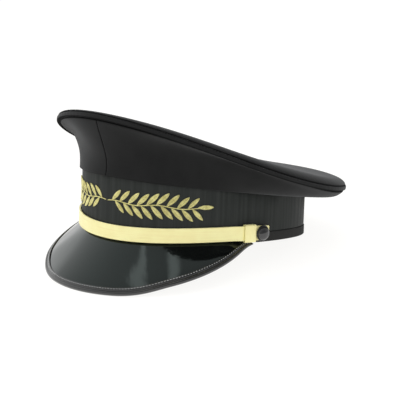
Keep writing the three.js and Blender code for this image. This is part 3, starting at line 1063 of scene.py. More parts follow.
@dataclass
class Crown:
    """The bell crown: a tensioned top, a piped rim and two side panels seamed front and back."""

    head: Head
    cloth: bpy.types.Material
    half_length: float = 132.4
    half_width: float = 119.5
    back: float = 0.8
    egg: float = -0.078
    pinch: float = 0.075
    height: float = 62.9
    tilt: float = 27.5
    saddle: float = 8.0
    ripple: float = -0.5
    thickness: float = 2.0
    inset: float = 0.8
    seat: float = 0.4
    clear: float = 2.4
    welt_depth: float = 2.6
    welt_half: float = 1.9
    welt_round: float = 1.25
    roll_width: float = 12.0
    roll_height: float = 6.6
    roll_saddle: float = -1.35
    parting: float = 0.08
    fold_round: float = 0.95
    seam_round: float = 1.2
    seam_lean: float = 3.4
    allowance: float = 0.4
    pucker_pitch: float = 6.5
    pucker_height: float = 0.10
    rows: tuple[WallRow, ...] = (
        WallRow(0.0, -8.0, 23.5, 0.34, 0.34),
        WallRow(45.0, 5.0, 79.0, 0.76, 0.21),
        WallRow(90.0, 95.0, 95.0, 0.51, 0.29),
        WallRow(135.0, 95.0, 21.0, 0.36, 0.37),
        WallRow(180.0, 94.6, 5.3, 0.35, 0.38),
    )
    drape: Drift = field(default_factory=lambda: Drift(11, 62.0, 0.42))
    tension: Drift = field(default_factory=lambda: Drift(23, 95.0, 0.55))

    def row_value(self, name: str, station: Array) -> Array:
        """Even curve through one column of the rows, mirrored in front and behind."""
        column = np.array([getattr(row, name) for row in self.rows])
        last = len(column) - 1
        turn = np.abs((station % 360.0 + 540.0) % 360.0 - 180.0) / 45.0
        row = np.minimum(np.floor(turn), last - 1).astype(int)
        t = turn - row
        a, b, c, d = (column[last - np.abs(last - np.abs(row + step))] for step in (-1, 0, 1, 2))
        linear = (c - a) * t
        square = (2.0 * a - 5.0 * b + 4.0 * c - d) * t**2
        cube = (3.0 * b - a - 3.0 * c + d) * t**3
        return 0.5 * (2.0 * b + linear + square + cube)

    def rim(self, station: Array, plan: Array = 1.0, rise: Array = 1.0) -> Array:
        """Points of the rim, drawn in by a share in plan and in height."""
        side = np.sin(np.radians(station))
        across = self.half_width * side * (1.0 + self.egg * wave(1, station))
        across = across * (1.0 - self.pinch * side**4)
        along = -self.half_length * wave(1, station)
        height = (
            self.height
            + self.tilt * rise * wave(1, station)
            + self.saddle * rise**2 * wave(2, station)
            + self.ripple * rise**3 * wave(3, station)
        )
        return vectors(across * plan, self.back + along * plan, height)

    def out(self, station: Array) -> Array:
        """Level direction out from the middle at a station."""
        turn = np.radians(station)
        return vectors(np.sin(turn), -np.cos(turn), 0.0)

    def wall(self, station: Array, share: Array) -> Array:
        """Outer face of the wall: share 0 at the band, 1 at the rim."""
        station, share = np.broadcast_arrays(np.asarray(station, float), np.asarray(share, float))
        leave = np.radians(self.row_value("leave", station))[..., None]
        arrive = np.radians(self.row_value("arrive", station))[..., None]
        out = self.out(station)
        up = vectors(0.0, 0.0, np.ones_like(station))
        seat = self.seat + self.thickness * np.maximum(np.cos(leave[..., 0]), 0.0)
        start = self.head.beside(station, seat, self.head.band_top(station))
        level = np.maximum(np.cos(arrive), 0.0)
        stop = self.rim(station) - out * (self.inset + self.clear * np.sin(arrive))
        stop = stop - up * (self.clear * level + self.welt_half * np.sin(arrive))
        span = np.linalg.norm(stop - start, axis=-1, keepdims=True)
        leaving = self.row_value("leave_hold", station)[..., None] * span
        arriving = self.row_value("arrive_hold", station)[..., None] * span
        first = start + up * leaving * np.cos(leave) + out * leaving * np.sin(leave)
        second = stop - up * arriving * np.cos(arrive) - out * arriving * np.sin(arrive)
        t = share[..., None]
        ends = start * (1.0 - t) ** 3 + stop * t**3
        return ends + 3.0 * t * (1.0 - t) * (first * (1.0 - t) + second * t)

    def top(self, station: Array, share: Array, depth: Array, sink: Array = 0.0) -> Array:
        """Top panel: share 0 in the middle, 1 at the seam, depth below its upper face."""
        full = self.rim(station)
        reach = np.hypot(full[..., 0], full[..., 1] - self.back)
        inset = (1.0 - share) * reach
        roll = self.roll_height + self.roll_saddle * share**2 * wave(2, station) - depth
        seam = self.welt_half + GAP
        turn = np.minimum(inset / (self.roll_width - depth), 1.0)
        lift = seam + (roll - seam) * np.sqrt(1.0 - (1.0 - turn) ** 2)
        points = self.rim(station, share * (1.0 - (self.inset + depth) / reach), share)
        points[..., 2] += lift - sink
        return points

    def puckers(self, station: Array, distance: Array) -> Array:
        """Small gathers that a seam draws in the cloth, fading away from it."""
        length = station * (math.pi / 180.0) * 0.5 * (self.half_length + self.half_width)
        beat = np.sin(length * 2.0 * math.pi / self.pucker_pitch + 1.3 * np.sin(length / 17.0))
        return self.pucker_height * beat * np.exp(-np.asarray(distance) / 5.0)

    def build_top(self) -> bpy.types.Object:
        """Top panel with its rounded edge and the soft hollows of stretched cloth."""
        station = np.arange(0.0, 360.0, 1.0)
        full = self.rim(station)
        reach = np.hypot(full[..., 0], full[..., 1] - self.back)
        middle = [part * (1.0 - self.roll_width / reach) for part in np.linspace(0.05, 0.985, 26)]
        turns = np.radians(np.linspace(90.0, 12.0, 14))
        edge = [1.0 - self.roll_width * (1.0 - math.cos(turn)) / reach for turn in turns]
        shares = middle + edge
        tall = (self.roll_height - self.welt_half) * np.sin(turns)
        # Painted shade: the rounded edge of the top darkens more and more towards the seam.
        crease_shade = [0.0] * len(middle) + list(0.45 - 0.45 * smooth(0.4, 1.1, tall))
        rings = [self.top(station, share, 0.0) for share in shares]
        for share, ring in zip(shares, rings):
            ring[..., 2] += self.tension.at(ring) * np.clip((1.0 - share) * 6.0, 0.0, 1.0)
            ring[..., 2] += self.puckers(station, (1.0 - share) * reach)
        lip = ((0.2, 0.6), (0.34, 0.3), (0.6, 0.05), (0.95, -0.12), (1.3, -0.24), (1.9, -0.24))
        rings += [self.top(station, np.ones_like(station), depth, -rise) for depth, rise in lip]
        under = [1.0 - self.roll_width * (1.0 - math.cos(turn)) / reach for turn in turns[::-3]]
        under += [part * (1.0 - self.roll_width / reach) for part in np.linspace(0.98, 0.08, 16)]
        rings += [self.top(station, share, self.thickness) for share in under]
        rows = np.stack(rings)
        # Painted shade under the lip, in the seam's groove; none on the underside.
        crease_shade += [0.6] * len(lip) + [0.0] * len(under)
        shade = np.broadcast_to(np.array(crease_shade)[:, None], rows.shape[:2])
        poles = (rows[0].mean(axis=0), rows[-1].mean(axis=0))
        skin = Skin("crown_top_cloth", rows, False, True, poles, Chart.PLAN, crease_shade=shade)
        piece = skin.build(self.head)
        piece.data.materials.append(self.cloth)
        return finished(piece, "crown_cloth", "crown_top")

    def build_welt(self) -> bpy.types.Object:
        """Piping between the top and the sides, a cloth roll round the rim."""
        radius = self.welt_round
        straight = self.welt_half - radius
        arcs = [
            (-radius + radius * math.cos(turn), side * straight + radius * math.sin(turn))
            for side in (-1, 1)
            for turn in np.radians(np.linspace(45.0 * (side - 1), 45.0 * (side + 1), 7))
        ]
        outline = [(-self.welt_depth, -self.welt_half), *arcs, (-self.welt_depth, self.welt_half)]
        station = np.arange(0.0, 360.0, 0.75)
        out = self.out(station)
        line = self.rim(station)
        gather = self.puckers(station * 1.07, 0.0)[:, None] * 0.5
        rows = np.stack(
            [line + out * (inward + gather * (inward > -1.0)) + (0.0, 0.0, up) for inward, up in outline],
            axis=1,
        )
        height = np.array([up for _, up in outline])
        # Painted shade along the upper and lower edges of the piping, in the grooves of the seams.
        shade = 0.5 * smooth(1.2, 1.85, height) + 0.75 * smooth(0.8, 1.5, -height)
        shade = np.broadcast_to(shade, rows.shape[:2])
        piece = Skin("crown_welt_cloth", rows, crease_shade=shade).build(self.head)
        piece.data.materials.append(self.cloth)
        return finished(piece, "crown_cloth", "crown_welt")

    def build_side(self, side: int, word: str) -> bpy.types.Object:
        """One side panel, its edges turned in at the seams and at the fold over the ribbon.

        Args:
            side: 1 for the wearer's left, -1 for the right.
            word: The side's name.

        Returns:
            The finished piece.
        """
        edge = np.array([0.0, 0.03, 0.08, 0.16, 0.27, 0.42, 0.65, 1.0])
        inner = np.arange(1.75, 90.0, 1.25)
        half = np.concatenate([edge, inner])
        station = np.concatenate([half, [90.0 - self.parting], 180.0 - 2 * self.parting - half[::-1]])
        station = (station + self.parting)[:, None]
        fold = [0.0, 0.003, 0.009, 0.018, 0.032, 0.05]
        seam = [0.968, 0.978, 0.985, 0.990, 0.995, 0.998, 1.0]
        share = np.concatenate([fold, np.linspace(0.075, 0.955, 32), seam])[None, :]
        turn = station * side
        turn = turn + self.seam_lean * share * smooth(60.0, 0.0, np.abs(turn))
        face = self.wall(turn, share)
        normal = facing(self.wall, turn, np.clip(share, 2e-3, 1.0 - 2e-3))
        tall = np.linalg.norm(np.diff(face, axis=1), axis=2)
        risen = np.concatenate([np.zeros((len(station), 1)), np.cumsum(tall, axis=1)], axis=1)
        middle = np.hypot(face[..., 0], face[..., 1])
        reach = np.radians(np.minimum(station, 180.0 - station) - self.parting) * middle
        left = risen[:, -1:] - risen
        drop = rounded_drop(risen, self.fold_round) + rounded_drop(reach, self.fold_round)
        drop = np.minimum(drop + rounded_drop(left, self.seam_round), 0.49 * self.thickness)
        life = self.drape.at(face) * smooth(0.0, 0.3, share) * smooth(1.0, 0.85, share)
        life += self.puckers(turn * 1.13, left) * 0.8
        life += 0.25 * np.exp(-reach / 9.0) * np.sin(risen / 3.1) * 0.35
        lift = normal * (life - drop)[..., None]
        under = normal * (life - self.thickness + drop)[..., None]
        ahead = unit(face[:, -1] - face[:, -2])[:, None]
        under = under + ahead * (self.allowance * smooth(1.5, 0.0, left))[..., None]
        rows = np.concatenate([face + lift, (face + under)[:, ::-1]], axis=1)
        # Painted shade near the seam at the rim, near the front and back seams and along the fold over the
        # ribbon; none on the inner face.
        shade = np.maximum(0.85 - 0.85 * smooth(0.1, 0.8, left), 0.8 - 0.8 * smooth(0.05, 0.5, reach))
        shade = np.maximum(shade, 0.7 - 0.7 * smooth(0.0, 0.6, risen))
        shade = np.concatenate([shade, 0.0 * shade], axis=1)
        skin = Skin(f"crown_side_{word}_cloth", rows, False, True, crease_shade=shade)
        piece = skin.build(self.head)
        piece.data.materials.append(self.cloth)
        return finished(piece, "crown_cloth", f"crown_side_{word}")

    def build(self) -> list[bpy.types.Object]:
        """All the pieces of the crown."""
        sides = [self.build_side(1, "left"), self.build_side(-1, "right")]
        return [self.build_top(), self.build_welt(), *sides]


# ---------------------------------------------------------------- the band


@dataclass
class Band:
    """The stiff band: a board inside, a ribbed ribbon outside and a cloth hem at the foot."""

    head: Head
    board_cloth: bpy.types.Material
    ribbon_cloth: bpy.types.Material
    hem_cloth: bpy.types.Material
    board_inner: float = -3.3
    board_outer: float = -1.3
    ribbon_inner: float = -1.0
    hem_inner: float = -3.6
    hem_lip: float = 1.2
    ribbon_tuck: float = 1.5
    board_tuck: float = 6.0
    rib_count: int = 560
    rib_steps: int = 6
    rib_depth: float = 0.03
    roll: Drift = field(default_factory=lambda: Drift(31, 28.0, 0.10))

    def ring(self, name: str, station: Array, rows: Sequence[tuple[Array, Array]]) -> Skin:
        """Ring round the head from pairs of offset and height at each station.

        Args:
            name: Name of the piece.
            station: Angles round the head.
            rows: Offsets and heights of each point of the outline.

        Returns:
            The skin, not yet a mesh.
        """
        lines = [self.head.beside(station, offset + 0.0 * station, height) for offset, height in rows]
        return Skin(name, np.stack(lines, axis=1))

    def build_board(self) -> bpy.types.Object:
        """The stiff board inside the band."""
        station = np.arange(0.0, 360.0, 1.5)
        foot = self.head.band_foot(station, self.board_outer) + self.hem_lip + GAP
        top = self.head.band_top(station) + self.board_tuck
        corner = 0.35
        inner, outer = self.board_inner, self.board_outer
        levels = [foot + (top - foot) * part for part in (0.25, 0.5, 0.75)]
        rows = [(inner, foot + corner), (inner + corner, foot)]
        rows += [(outer - corner, foot), (outer, foot + corner)]
        rows += [(outer, level) for level in levels]
        rows += [(outer, top - corner), (outer - corner, top), (inner + corner, top), (inner, top - corner)]
        rows += [(inner, level) for level in reversed(levels)]
        piece = self.ring("band_board", station, rows).build(self.head)
        piece.data.materials.append(self.board_cloth)
        return finished(piece, "band_cloth", "band")

    def build_ribbon(self) -> bpy.types.Object:
        """The ribbon, its upright ribs standing in the weave."""
        count = self.rib_count * self.rib_steps
        station = np.arange(count) * (360.0 / count)
        phase = np.arange(count) % self.rib_steps / self.rib_steps
        groove = self.rib_depth * (1.0 - np.abs(np.sin(np.pi * (phase + 0.5 / self.rib_steps))) ** 0.6)
        foot = self.head.band_foot(station, self.head.hem_outer) + self.head.hem_height + GAP
        top = self.head.band_top(station) + self.ribbon_tuck
        face = self.roll.at(self.head.beside(station, 0.0, 0.5 * (foot + top))) * 0.35 - groove - 0.04
        selvedge = 0.3
        rows = [(self.ribbon_inner, foot + 0.1), (-0.3, foot), (face - 0.02, foot + 0.12)]
        rows += [(face + groove, foot + selvedge), (face + groove, foot + selvedge + 0.9)]
        rows += [(face, foot + selvedge + 1.1), (face, 0.5 * (foot + top)), (face, top - 0.2)]
        rows += [(-0.3, top), (self.ribbon_inner, top - 0.1)]
        piece = self.ring("band_ribbon_ribbed", station, rows).build(self.head)
        piece.data.materials.append(self.ribbon_cloth)
        return finished(piece, "ribbon", "band_ribbon")

    def build_hem(self) -> bpy.types.Object:
        """The folded cloth hem that the cap stands on behind."""
        station = np.arange(0.0, 360.0, 0.75)
        height = self.head.hem_height
        inner, outer, shelf = self.hem_inner, self.head.hem_outer, self.board_outer + GAP
        turns = np.radians(np.linspace(0.0, 90.0, 5))
        low, high = 0.75, 0.55
        outline = [(inner, 0.35), (inner + 0.35, 0.0)]
        outline += [(outer - low + low * math.sin(t), low - low * math.cos(t)) for t in turns]
        outline += [(outer + 0.02, 0.3 * height), (outer + 0.02, 0.7 * height)]
        outline += [(outer - high + high * math.cos(t), height - high + high * math.sin(t)) for t in turns]
        outline += [(shelf, height - 0.2), (shelf, self.hem_lip), (inner + 0.3, self.hem_lip)]
        outline += [(inner, self.hem_lip - 0.3)]
        rows = []
        for offset, rise in outline:
            level = self.head.beside(station, offset, rise)
            bulge = self.roll.at(level) * smooth(shelf, outer, np.array(offset)) * smooth(0.0, 2.5, rise)
            rows.append((offset + bulge, self.head.band_foot(station, np.array(offset)) + rise))
        piece = self.ring("band_hem_cloth", station, rows).build(self.head)
        piece.data.materials.append(self.hem_cloth)
        return finished(piece, "band_cloth", "band_hem")

    def build(self) -> list[bpy.types.Object]:
        """All the pieces of the band."""
        return [self.build_board(), self.build_ribbon(), self.build_hem()]


# ---------------------------------------------------------------- the peak


@dataclass
class Peak:
    """The patent peak and its bound, stitched edge."""

    head: Head
    patent: bpy.types.Material
    edging: bpy.types.Material
    thread: bpy.types.Material
    across_first: float = 102.5
    across_third: float = 17.4
    along_middle: float = -21.0
    along_first: float = -95.8
    along_third: float = -19.5
    height_middle: float = -6.73
    height_first: float = -20.9
    height_second: float = -9.9
    height_third: float = -3.4
    root_end: float = 76.0
    root_offset: float = -1.5
    root_drop: float = 1.1
    thickness: float = 2.2
    sweep: float = 89.0
    slope: float = 0.03
    side_slope: float = 0.018
    turn_down: float = 9.0
    lip: float = 6.0
    lip_share: float = 0.45
    binding_half: float = 2.5
    binding_wall: float = 1.2
    nose: float = 0.22
    stitch_pitch: float = 2.4
    stitch_length: float = 1.35
    stitch_width: float = 0.55
    settle: Drift = field(default_factory=lambda: Drift(47, 48.0, 0.05))

    def edge(self, sweep: Array) -> Array:
        """Outer edge at a sweep angle, resting on the floor in front."""
        def free(angle: Array) -> Array:
            """The edge before the floor holds it up."""
            turn = np.radians(angle)
            return vectors(
                self.across_first * np.sin(turn) + self.across_third * np.sin(3.0 * turn),
                self.along_middle + self.along_first * wave(1, angle) + self.along_third * wave(3, angle),
                self.height_middle
                + self.height_first * wave(1, angle)
                + self.height_second * wave(2, angle)
                + self.height_third * wave(3, angle),
            )

        line = free(sweep)
        held = 1.0 - smooth(12.0, 32.0, np.abs(sweep))
        drop = held * (self.head.over_floor(line) - self.head.over_floor(free(np.zeros(1)))[0])
        slope = math.radians(self.head.tip)
        line[..., 1] += drop * math.sin(slope)
        line[..., 2] -= drop * math.cos(slope) + 2.0 * smooth(68.0, 90.0, np.abs(sweep))
        return line

    def point(self, sweep: Array, share: Array) -> Array:
        """Middle of the thickness: share 0 under the band, 1 at the outer edge."""
        sweep, share = np.broadcast_arrays(np.asarray(sweep, float), np.asarray(share, float))
        station = self.root_end * sweep / 90.0
        foot = self.head.band_foot(station, self.root_offset)
        root = self.head.beside(station, self.root_offset, foot - self.root_drop)
        fall = self.edge(sweep) - root
        length = np.linalg.norm(fall, axis=-1)
        flat = np.hypot(fall[..., 0], fall[..., 1])
        normal = unit(vectors(-fall[..., 0] * fall[..., 2], -fall[..., 1] * fall[..., 2], flat * flat))
        slope = self.slope + self.side_slope * smooth(20.0, 46.0, np.abs(sweep))
        bulge = slope * length * (share - share**self.turn_down)
        return root + fall * share[..., None] + normal * bulge[..., None]

    def width(self, sweep: Array) -> Array:
        """Distance from under the band to the outer edge."""
        return np.linalg.norm(self.point(sweep, 1.0) - self.point(sweep, 0.0), axis=-1)

    def thinned(self, sweep: Array) -> Array:
        """Share of the full thickness that is kept towards the ends."""
        return 1.0 - 0.45 * smooth(60.0, 88.0, np.abs(sweep))

    def off_sheet(self, sweep: Array, inside: Array, over: Array) -> Array:
        """Points a distance inside the outer edge and a distance over the middle of the sheet."""
        share = 1.0 - inside / self.width(sweep)
        normal = facing(self.point, sweep, share)
        normal = normal * np.sign(normal[..., 2:])
        return self.point(sweep, share) + normal * np.asarray(over)[..., None]

    def build_sheet(self) -> bpy.types.Object:
        """The patent sheet."""
        sweep = np.linspace(-self.sweep, self.sweep, 221)[:, None]
        stop = 1.0 - (self.binding_wall + GAP) / self.width(sweep)
        share = np.linspace(0.0, 1.0, 33)[None, :] * stop
        inside = (1.0 - share) * self.width(sweep)
        half = 0.5 * self.thickness * self.thinned(sweep) + 0.0 * share
        life = self.settle.at(self.point(sweep, share))
        upper = self.off_sheet(sweep, inside, half + life)
        lower = self.off_sheet(sweep, inside, -half)
        rows = np.concatenate([upper, lower[:, ::-1]], axis=1)
        piece = Skin("peak_patent", rows, False, True).build(self.head)
        piece.data.materials.append(self.patent)
        return finished(piece, "patent", "peak")

    def flange(self, sweep: Array) -> tuple[Array, Array, Array, Array, Array]:
        """Measures of the binding at a sweep angle.

        Args:
            sweep: Sweep angles.

        Returns:
            Reach over the sheet, half height, throat, top of the flange and foot of the groove.
        """
        reach = np.minimum(self.lip, self.lip_share * self.width(sweep))
        half = self.binding_half * self.thinned(sweep)
        throat = 0.5 * self.thickness * self.thinned(sweep) + GAP
        spare = half - throat
        return reach, half, throat, throat + 0.62 * spare, throat + 0.18 * spare

    def binding_outline(self, sweep: float) -> Array:
        """Outline of the binding: an outer path round the roll, and back along the slot.

        Args:
            sweep: One sweep angle.

        Returns:
            Pairs of distance inside the edge and height over the middle of the sheet.
        """
        measures = self.flange(np.array([sweep]))
        reach, half, throat, top, groove = (float(value[0]) for value in measures)
        start = math.asin(groove / half)
        turns = np.linspace(start, 2.0 * math.pi - start, 25)
        bead = 0.5 * (0.58 * reach - self.nose)
        roll = [(self.nose + bead * (1.0 + math.cos(t)), half * math.sin(t)) for t in turns]
        flange = [
            (reach, throat),
            (reach, top - 0.25),
            (reach - 0.1, top - 0.07),
            (reach - 0.28, top),
            (0.82 * reach, top + 0.02),
            (0.68 * reach, top),
            (0.63 * reach, 0.5 * (top + groove)),
            (0.605 * reach, groove),
        ]
        outer = flange + roll + [(inside, -over) for inside, over in reversed(flange)]
        wall = self.binding_wall
        slot = np.array([(reach, -throat), (wall, -throat), (wall, throat), (reach, throat)])
        inner = evenly(slot, len(outer))
        inner[0, 0] -= 0.02
        inner[-1, 0] -= 0.02
        return np.concatenate([np.array(outer), inner])

    def build_binding(self) -> bpy.types.Object:
        """The bound edge: a roll round the rim and a flange sewn to the sheet."""
        sweeps = np.linspace(-self.sweep, self.sweep, 221)
        outlines = np.stack([self.binding_outline(float(sweep)) for sweep in sweeps])
        rows = self.off_sheet(sweeps[:, None] + 0.0 * outlines[..., 0], outlines[..., 0], outlines[..., 1])
        piece = Skin("peak_binding_rolled", rows, False, True, sharp=60.0).build(self.head)
        piece.data.materials.append(self.edging)
        return finished(piece, "edging", "peak_binding")

    def build_stitches(self) -> bpy.types.Object:
        """The row of stitches along the flange."""
        sweep = np.linspace(-84.0, 84.0, 260)
        reach, _, _, top, _ = self.flange(sweep)
        line = self.off_sheet(sweep, 0.83 * reach, top + 0.06)
        over = self.off_sheet(sweep, 0.83 * reach, top + 1.06) - line
        guide = Guide("peak_stitches", self.head.placed(line), self.head.turned(over), joined=True)
        piece = guide.sewn(
            run_of_stitches(),
            Pitch=self.stitch_pitch * MM,
            Length=self.stitch_length * MM,
            Width=self.stitch_width * MM,
            Slant=math.radians(9.0),
            Thread=self.thread,
        )
        return finished(piece, "edging")

    def build(self) -> list[bpy.types.Object]:
        """All the pieces of the peak."""
        return [self.build_sheet(), self.build_binding(), self.build_stitches()]


# ---------------------------------------------------------------- strap, keepers and buttons


@dataclass
class ChinStrap:
    """The gold strap over the peak and the two keepers that it passes through."""

    head: Head
    gold: bpy.types.Material
    thickness: float = 1.6
    off: float = 0.8
    lift: float = 1.0
    lift_from: float = 67.0
    lift_to: float = 71.0
    end: float = 85.8
    corners: tuple[float, float] = (5.6, 1.3)
    line_count: int = 9
    line_depth: float = 0.045
    border: float = 1.25
    keeper_at: float = 74.7
    keeper_half: float = 2.9
    keeper_reach: float = 7.3
    keeper_back: float = 0.8
    keeper_back_wall: float = 0.7
    keeper_wall: float = 1.2
    wander: Drift = field(default_factory=lambda: Drift(59, 40.0, 0.06))

    def offset(self, station: Array) -> Array:
        """How far the strap stands off the ribbon, lifted over the back of a keeper."""
        return self.off + self.lift * smooth(self.lift_from, self.lift_to, np.abs(station))

    def build_strap(self) -> bpy.types.Object:
        """The strap, with a raised border and fine lengthwise lines in its face."""
        tail = np.array([0.0, 0.03, 0.1, 0.2, 0.35, 0.55, 0.8, 1.1, 1.5, 2.0, 2.6, 3.3])
        inner = np.linspace(4.0 - self.end, self.end - 4.0, 287)
        stations = np.concatenate([tail - self.end, inner, self.end - tail[::-1]])
        width, thick = self.head.strap_width, self.thickness
        turns = np.radians(np.linspace(0.0, 90.0, 5))
        low = [(thick - 0.5 + 0.5 * math.sin(t), 0.5 - 0.5 * math.cos(t)) for t in turns]
        field_width = width - 2.0 * self.border
        across = np.linspace(0.0, 1.0, self.line_count * 4 + 1)
        lines = self.line_depth * np.abs(np.sin(np.pi * across * self.line_count))
        face = [(thick - 0.16 + line, self.border + field_width * part) for line, part in zip(lines, across)]
        high = [(out, width - up) for out, up in reversed(low)]
        outer = low + [(thick, self.border - 0.3)] + face + [(thick, width - self.border + 0.3)] + high
        back = evenly(np.array([(0.0, width - 0.1), (0.0, 0.1)]), len(outer))
        outline = np.concatenate([np.array(outer), back])
        middle = self.head.beside(stations, self.offset(stations), self.head.strap_foot(stations))
        sway = self.wander.at(middle) * smooth(self.lift_to, self.lift_from - 8.0, np.abs(stations))
        left = (self.end - np.abs(stations)) * math.radians(self.head.half_length)
        low_cut, high_cut = (rounded_drop(left, radius)[:, None] for radius in self.corners)
        level = low_cut + outline[None, :, 1] * (1.0 - (low_cut + high_cut) / width)
        rows = self.head.beside(
            stations[:, None],
            (self.offset(stations) + sway)[:, None] + outline[None, :, 0],
            self.head.strap_foot(stations)[:, None] + level,
        )
        piece = Skin("chin_strap_gold", rows, False, True, sharp=65.0).build(self.head)
        piece.data.materials.append(self.gold)
        return finished(piece, "gold_strap", "chin_strap")

    def build_keeper(self, side: int, word: str) -> bpy.types.Object:
        """A keeper: a flat loop of strapping closed round the strap.

        Args:
            side: 1 for the wearer's left, -1 for the right.
            word: The side's name.

        Returns:
            The finished piece.
        """
        strap_out = self.off + self.lift + self.thickness
        hole = 0.5 * self.head.strap_width + GAP
        outer_face = strap_out + GAP + self.keeper_wall
        outer = loop_path(self.keeper_back, outer_face, self.keeper_reach, 1.0)
        inner = loop_path(self.keeper_back + self.keeper_back_wall, strap_out + GAP, hole, 0.35)
        bevel = 0.35
        edges = [(1.0, 0.3), (0.93, 0.06), (0.8, 0.0), (0.4, -0.05), (0.0, -0.06)]
        edges += [(-part, dip) for part, dip in reversed(edges[:-1])]
        rows = []
        for part, dip in edges:
            station = self.keeper_at + self.keeper_half * part
            shift = outer - inner
            rows.append((station, outer - shift * (dip * bevel)))
        rows += [(self.keeper_at - self.keeper_half * part, inner) for part in (0.98, 0.5, 0.0, -0.5, -0.98)]
        loops = []
        for station, path in rows:
            middle = self.head.strap_foot(np.array(station)) + 0.5 * self.head.strap_width
            loops.append(self.head.beside(side * station + 0.0 * path[:, 0], path[:, 0], middle + path[:, 1]))
        mesh_rows = np.stack(loops, axis=1)
        piece = Skin(f"strap_keeper_{word}_gold", mesh_rows, True, True, sharp=60.0).build(self.head)
        piece.data.materials.append(self.gold)
        return finished(piece, "gold_strap", f"strap_keeper_{word}")

    def build(self) -> list[bpy.types.Object]:
        """The strap and its two keepers."""
        keepers = [self.build_keeper(1, "left"), self.build_keeper(-1, "right")]
        return [self.build_strap(), *keepers]


def loop_path(low: float, high: float, reach: float, radius: float) -> Array:
    """Rounded rectangle round a strap.

    Args:
        low: Offset of its back.
        high: Offset of its face.
        reach: Half of its height.
        radius: Radius of its corners.

    Returns:
        Pairs of offset and height, in order.
    """
    radius = min(radius, 0.45 * (high - low))
    corners = (
        (high - radius, reach - radius, 0.0),
        (low + radius, reach - radius, 90.0),
        (low + radius, radius - reach, 180.0),
        (high - radius, radius - reach, 270.0),
    )
    arcs = []
    for offset, height, start in corners:
        turns = np.radians(np.linspace(start, start + 90.0, 6))
        arcs.append(np.stack([offset + radius * np.cos(turns), height + radius * np.sin(turns)], 1))
    path = []
    for arc, following in zip(arcs, arcs[1:] + arcs[:1]):
        between = [arc[-1] + (following[0] - arc[-1]) * part for part in (1 / 3, 2 / 3)]
        path.append(np.concatenate([arc, np.stack(between)]))
    return np.concatenate(path)


@dataclass
class Buttons:
    """The two dome buttons that hold the ends of the strap."""

    head: Head
    gloss: bpy.types.Material
    at: float = 81.4
    radius: float = 6.6
    seat: float = 3.8
    dome: float = 5.2
    rim: float = 0.85
    sides: int = 72

    def profile(self) -> list[tuple[float, float]]:
        """Distance over the seat and radius, from the back of the rim to near the crown."""
        back = [(0.0, self.radius - 1.6), (0.0, self.radius - 0.7), (0.2, self.radius - 0.25)]
        ring = [
            (0.75 - 0.55 * math.cos(turn), self.radius - 0.4 + 0.4 * math.sin(turn))
            for turn in np.radians(np.linspace(30.0, 150.0, 6))
        ]
        inner = self.radius - self.rim
        groove = [(1.15, inner + 0.12), (1.1, inner)]
        swell = [
            (1.1 + (self.dome - 1.1) * math.sin(turn), inner * math.cos(turn))
            for turn in np.radians(np.linspace(6.0, 87.0, 22))
        ]
        return back + ring + groove + swell

    def build_one(self, side: int, word: str) -> bpy.types.Object:
        """One button.

        Args:
            side: 1 for the wearer's left, -1 for the right.
            word: The side's name.

        Returns:
            The finished piece.
        """
        station = np.array(side * self.at)
        height = self.head.strap_foot(station) + 0.5 * self.head.strap_width
        origin = self.head.beside(station, 0.0, height)
        turn = math.radians(side * self.at)
        along = np.array([self.head.half_width * math.cos(turn), self.head.half_length * math.sin(turn), 0.0])
        axis = unit(np.cross(along, np.array([0.0, -self.head.lean, 1.0])))
        across = unit(np.cross(np.array([0.0, 0.0, 1.0]), axis))
        up = np.cross(axis, across)
        angles = np.radians(np.arange(0.0, 360.0, 360.0 / self.sides))[:, None]
        circle = np.cos(angles) * across + np.sin(angles) * up
        rows = np.stack(
            [origin + axis * (self.seat + over) + circle * radius for over, radius in self.profile()]
        )
        poles = (rows[0].mean(axis=0), origin + axis * (self.seat + self.dome))
        piece = Skin(f"button_{word}_dome", rows, False, True, poles, sharp=40.0).build(self.head)
        piece.data.materials.append(self.gloss)
        return finished(piece, "button", f"button_{word}")

    def build(self) -> list[bpy.types.Object]:
        """Both buttons."""
        return [self.build_one(1, "left"), self.build_one(-1, "right")]


# ---------------------------------------------------------------- the embroidery


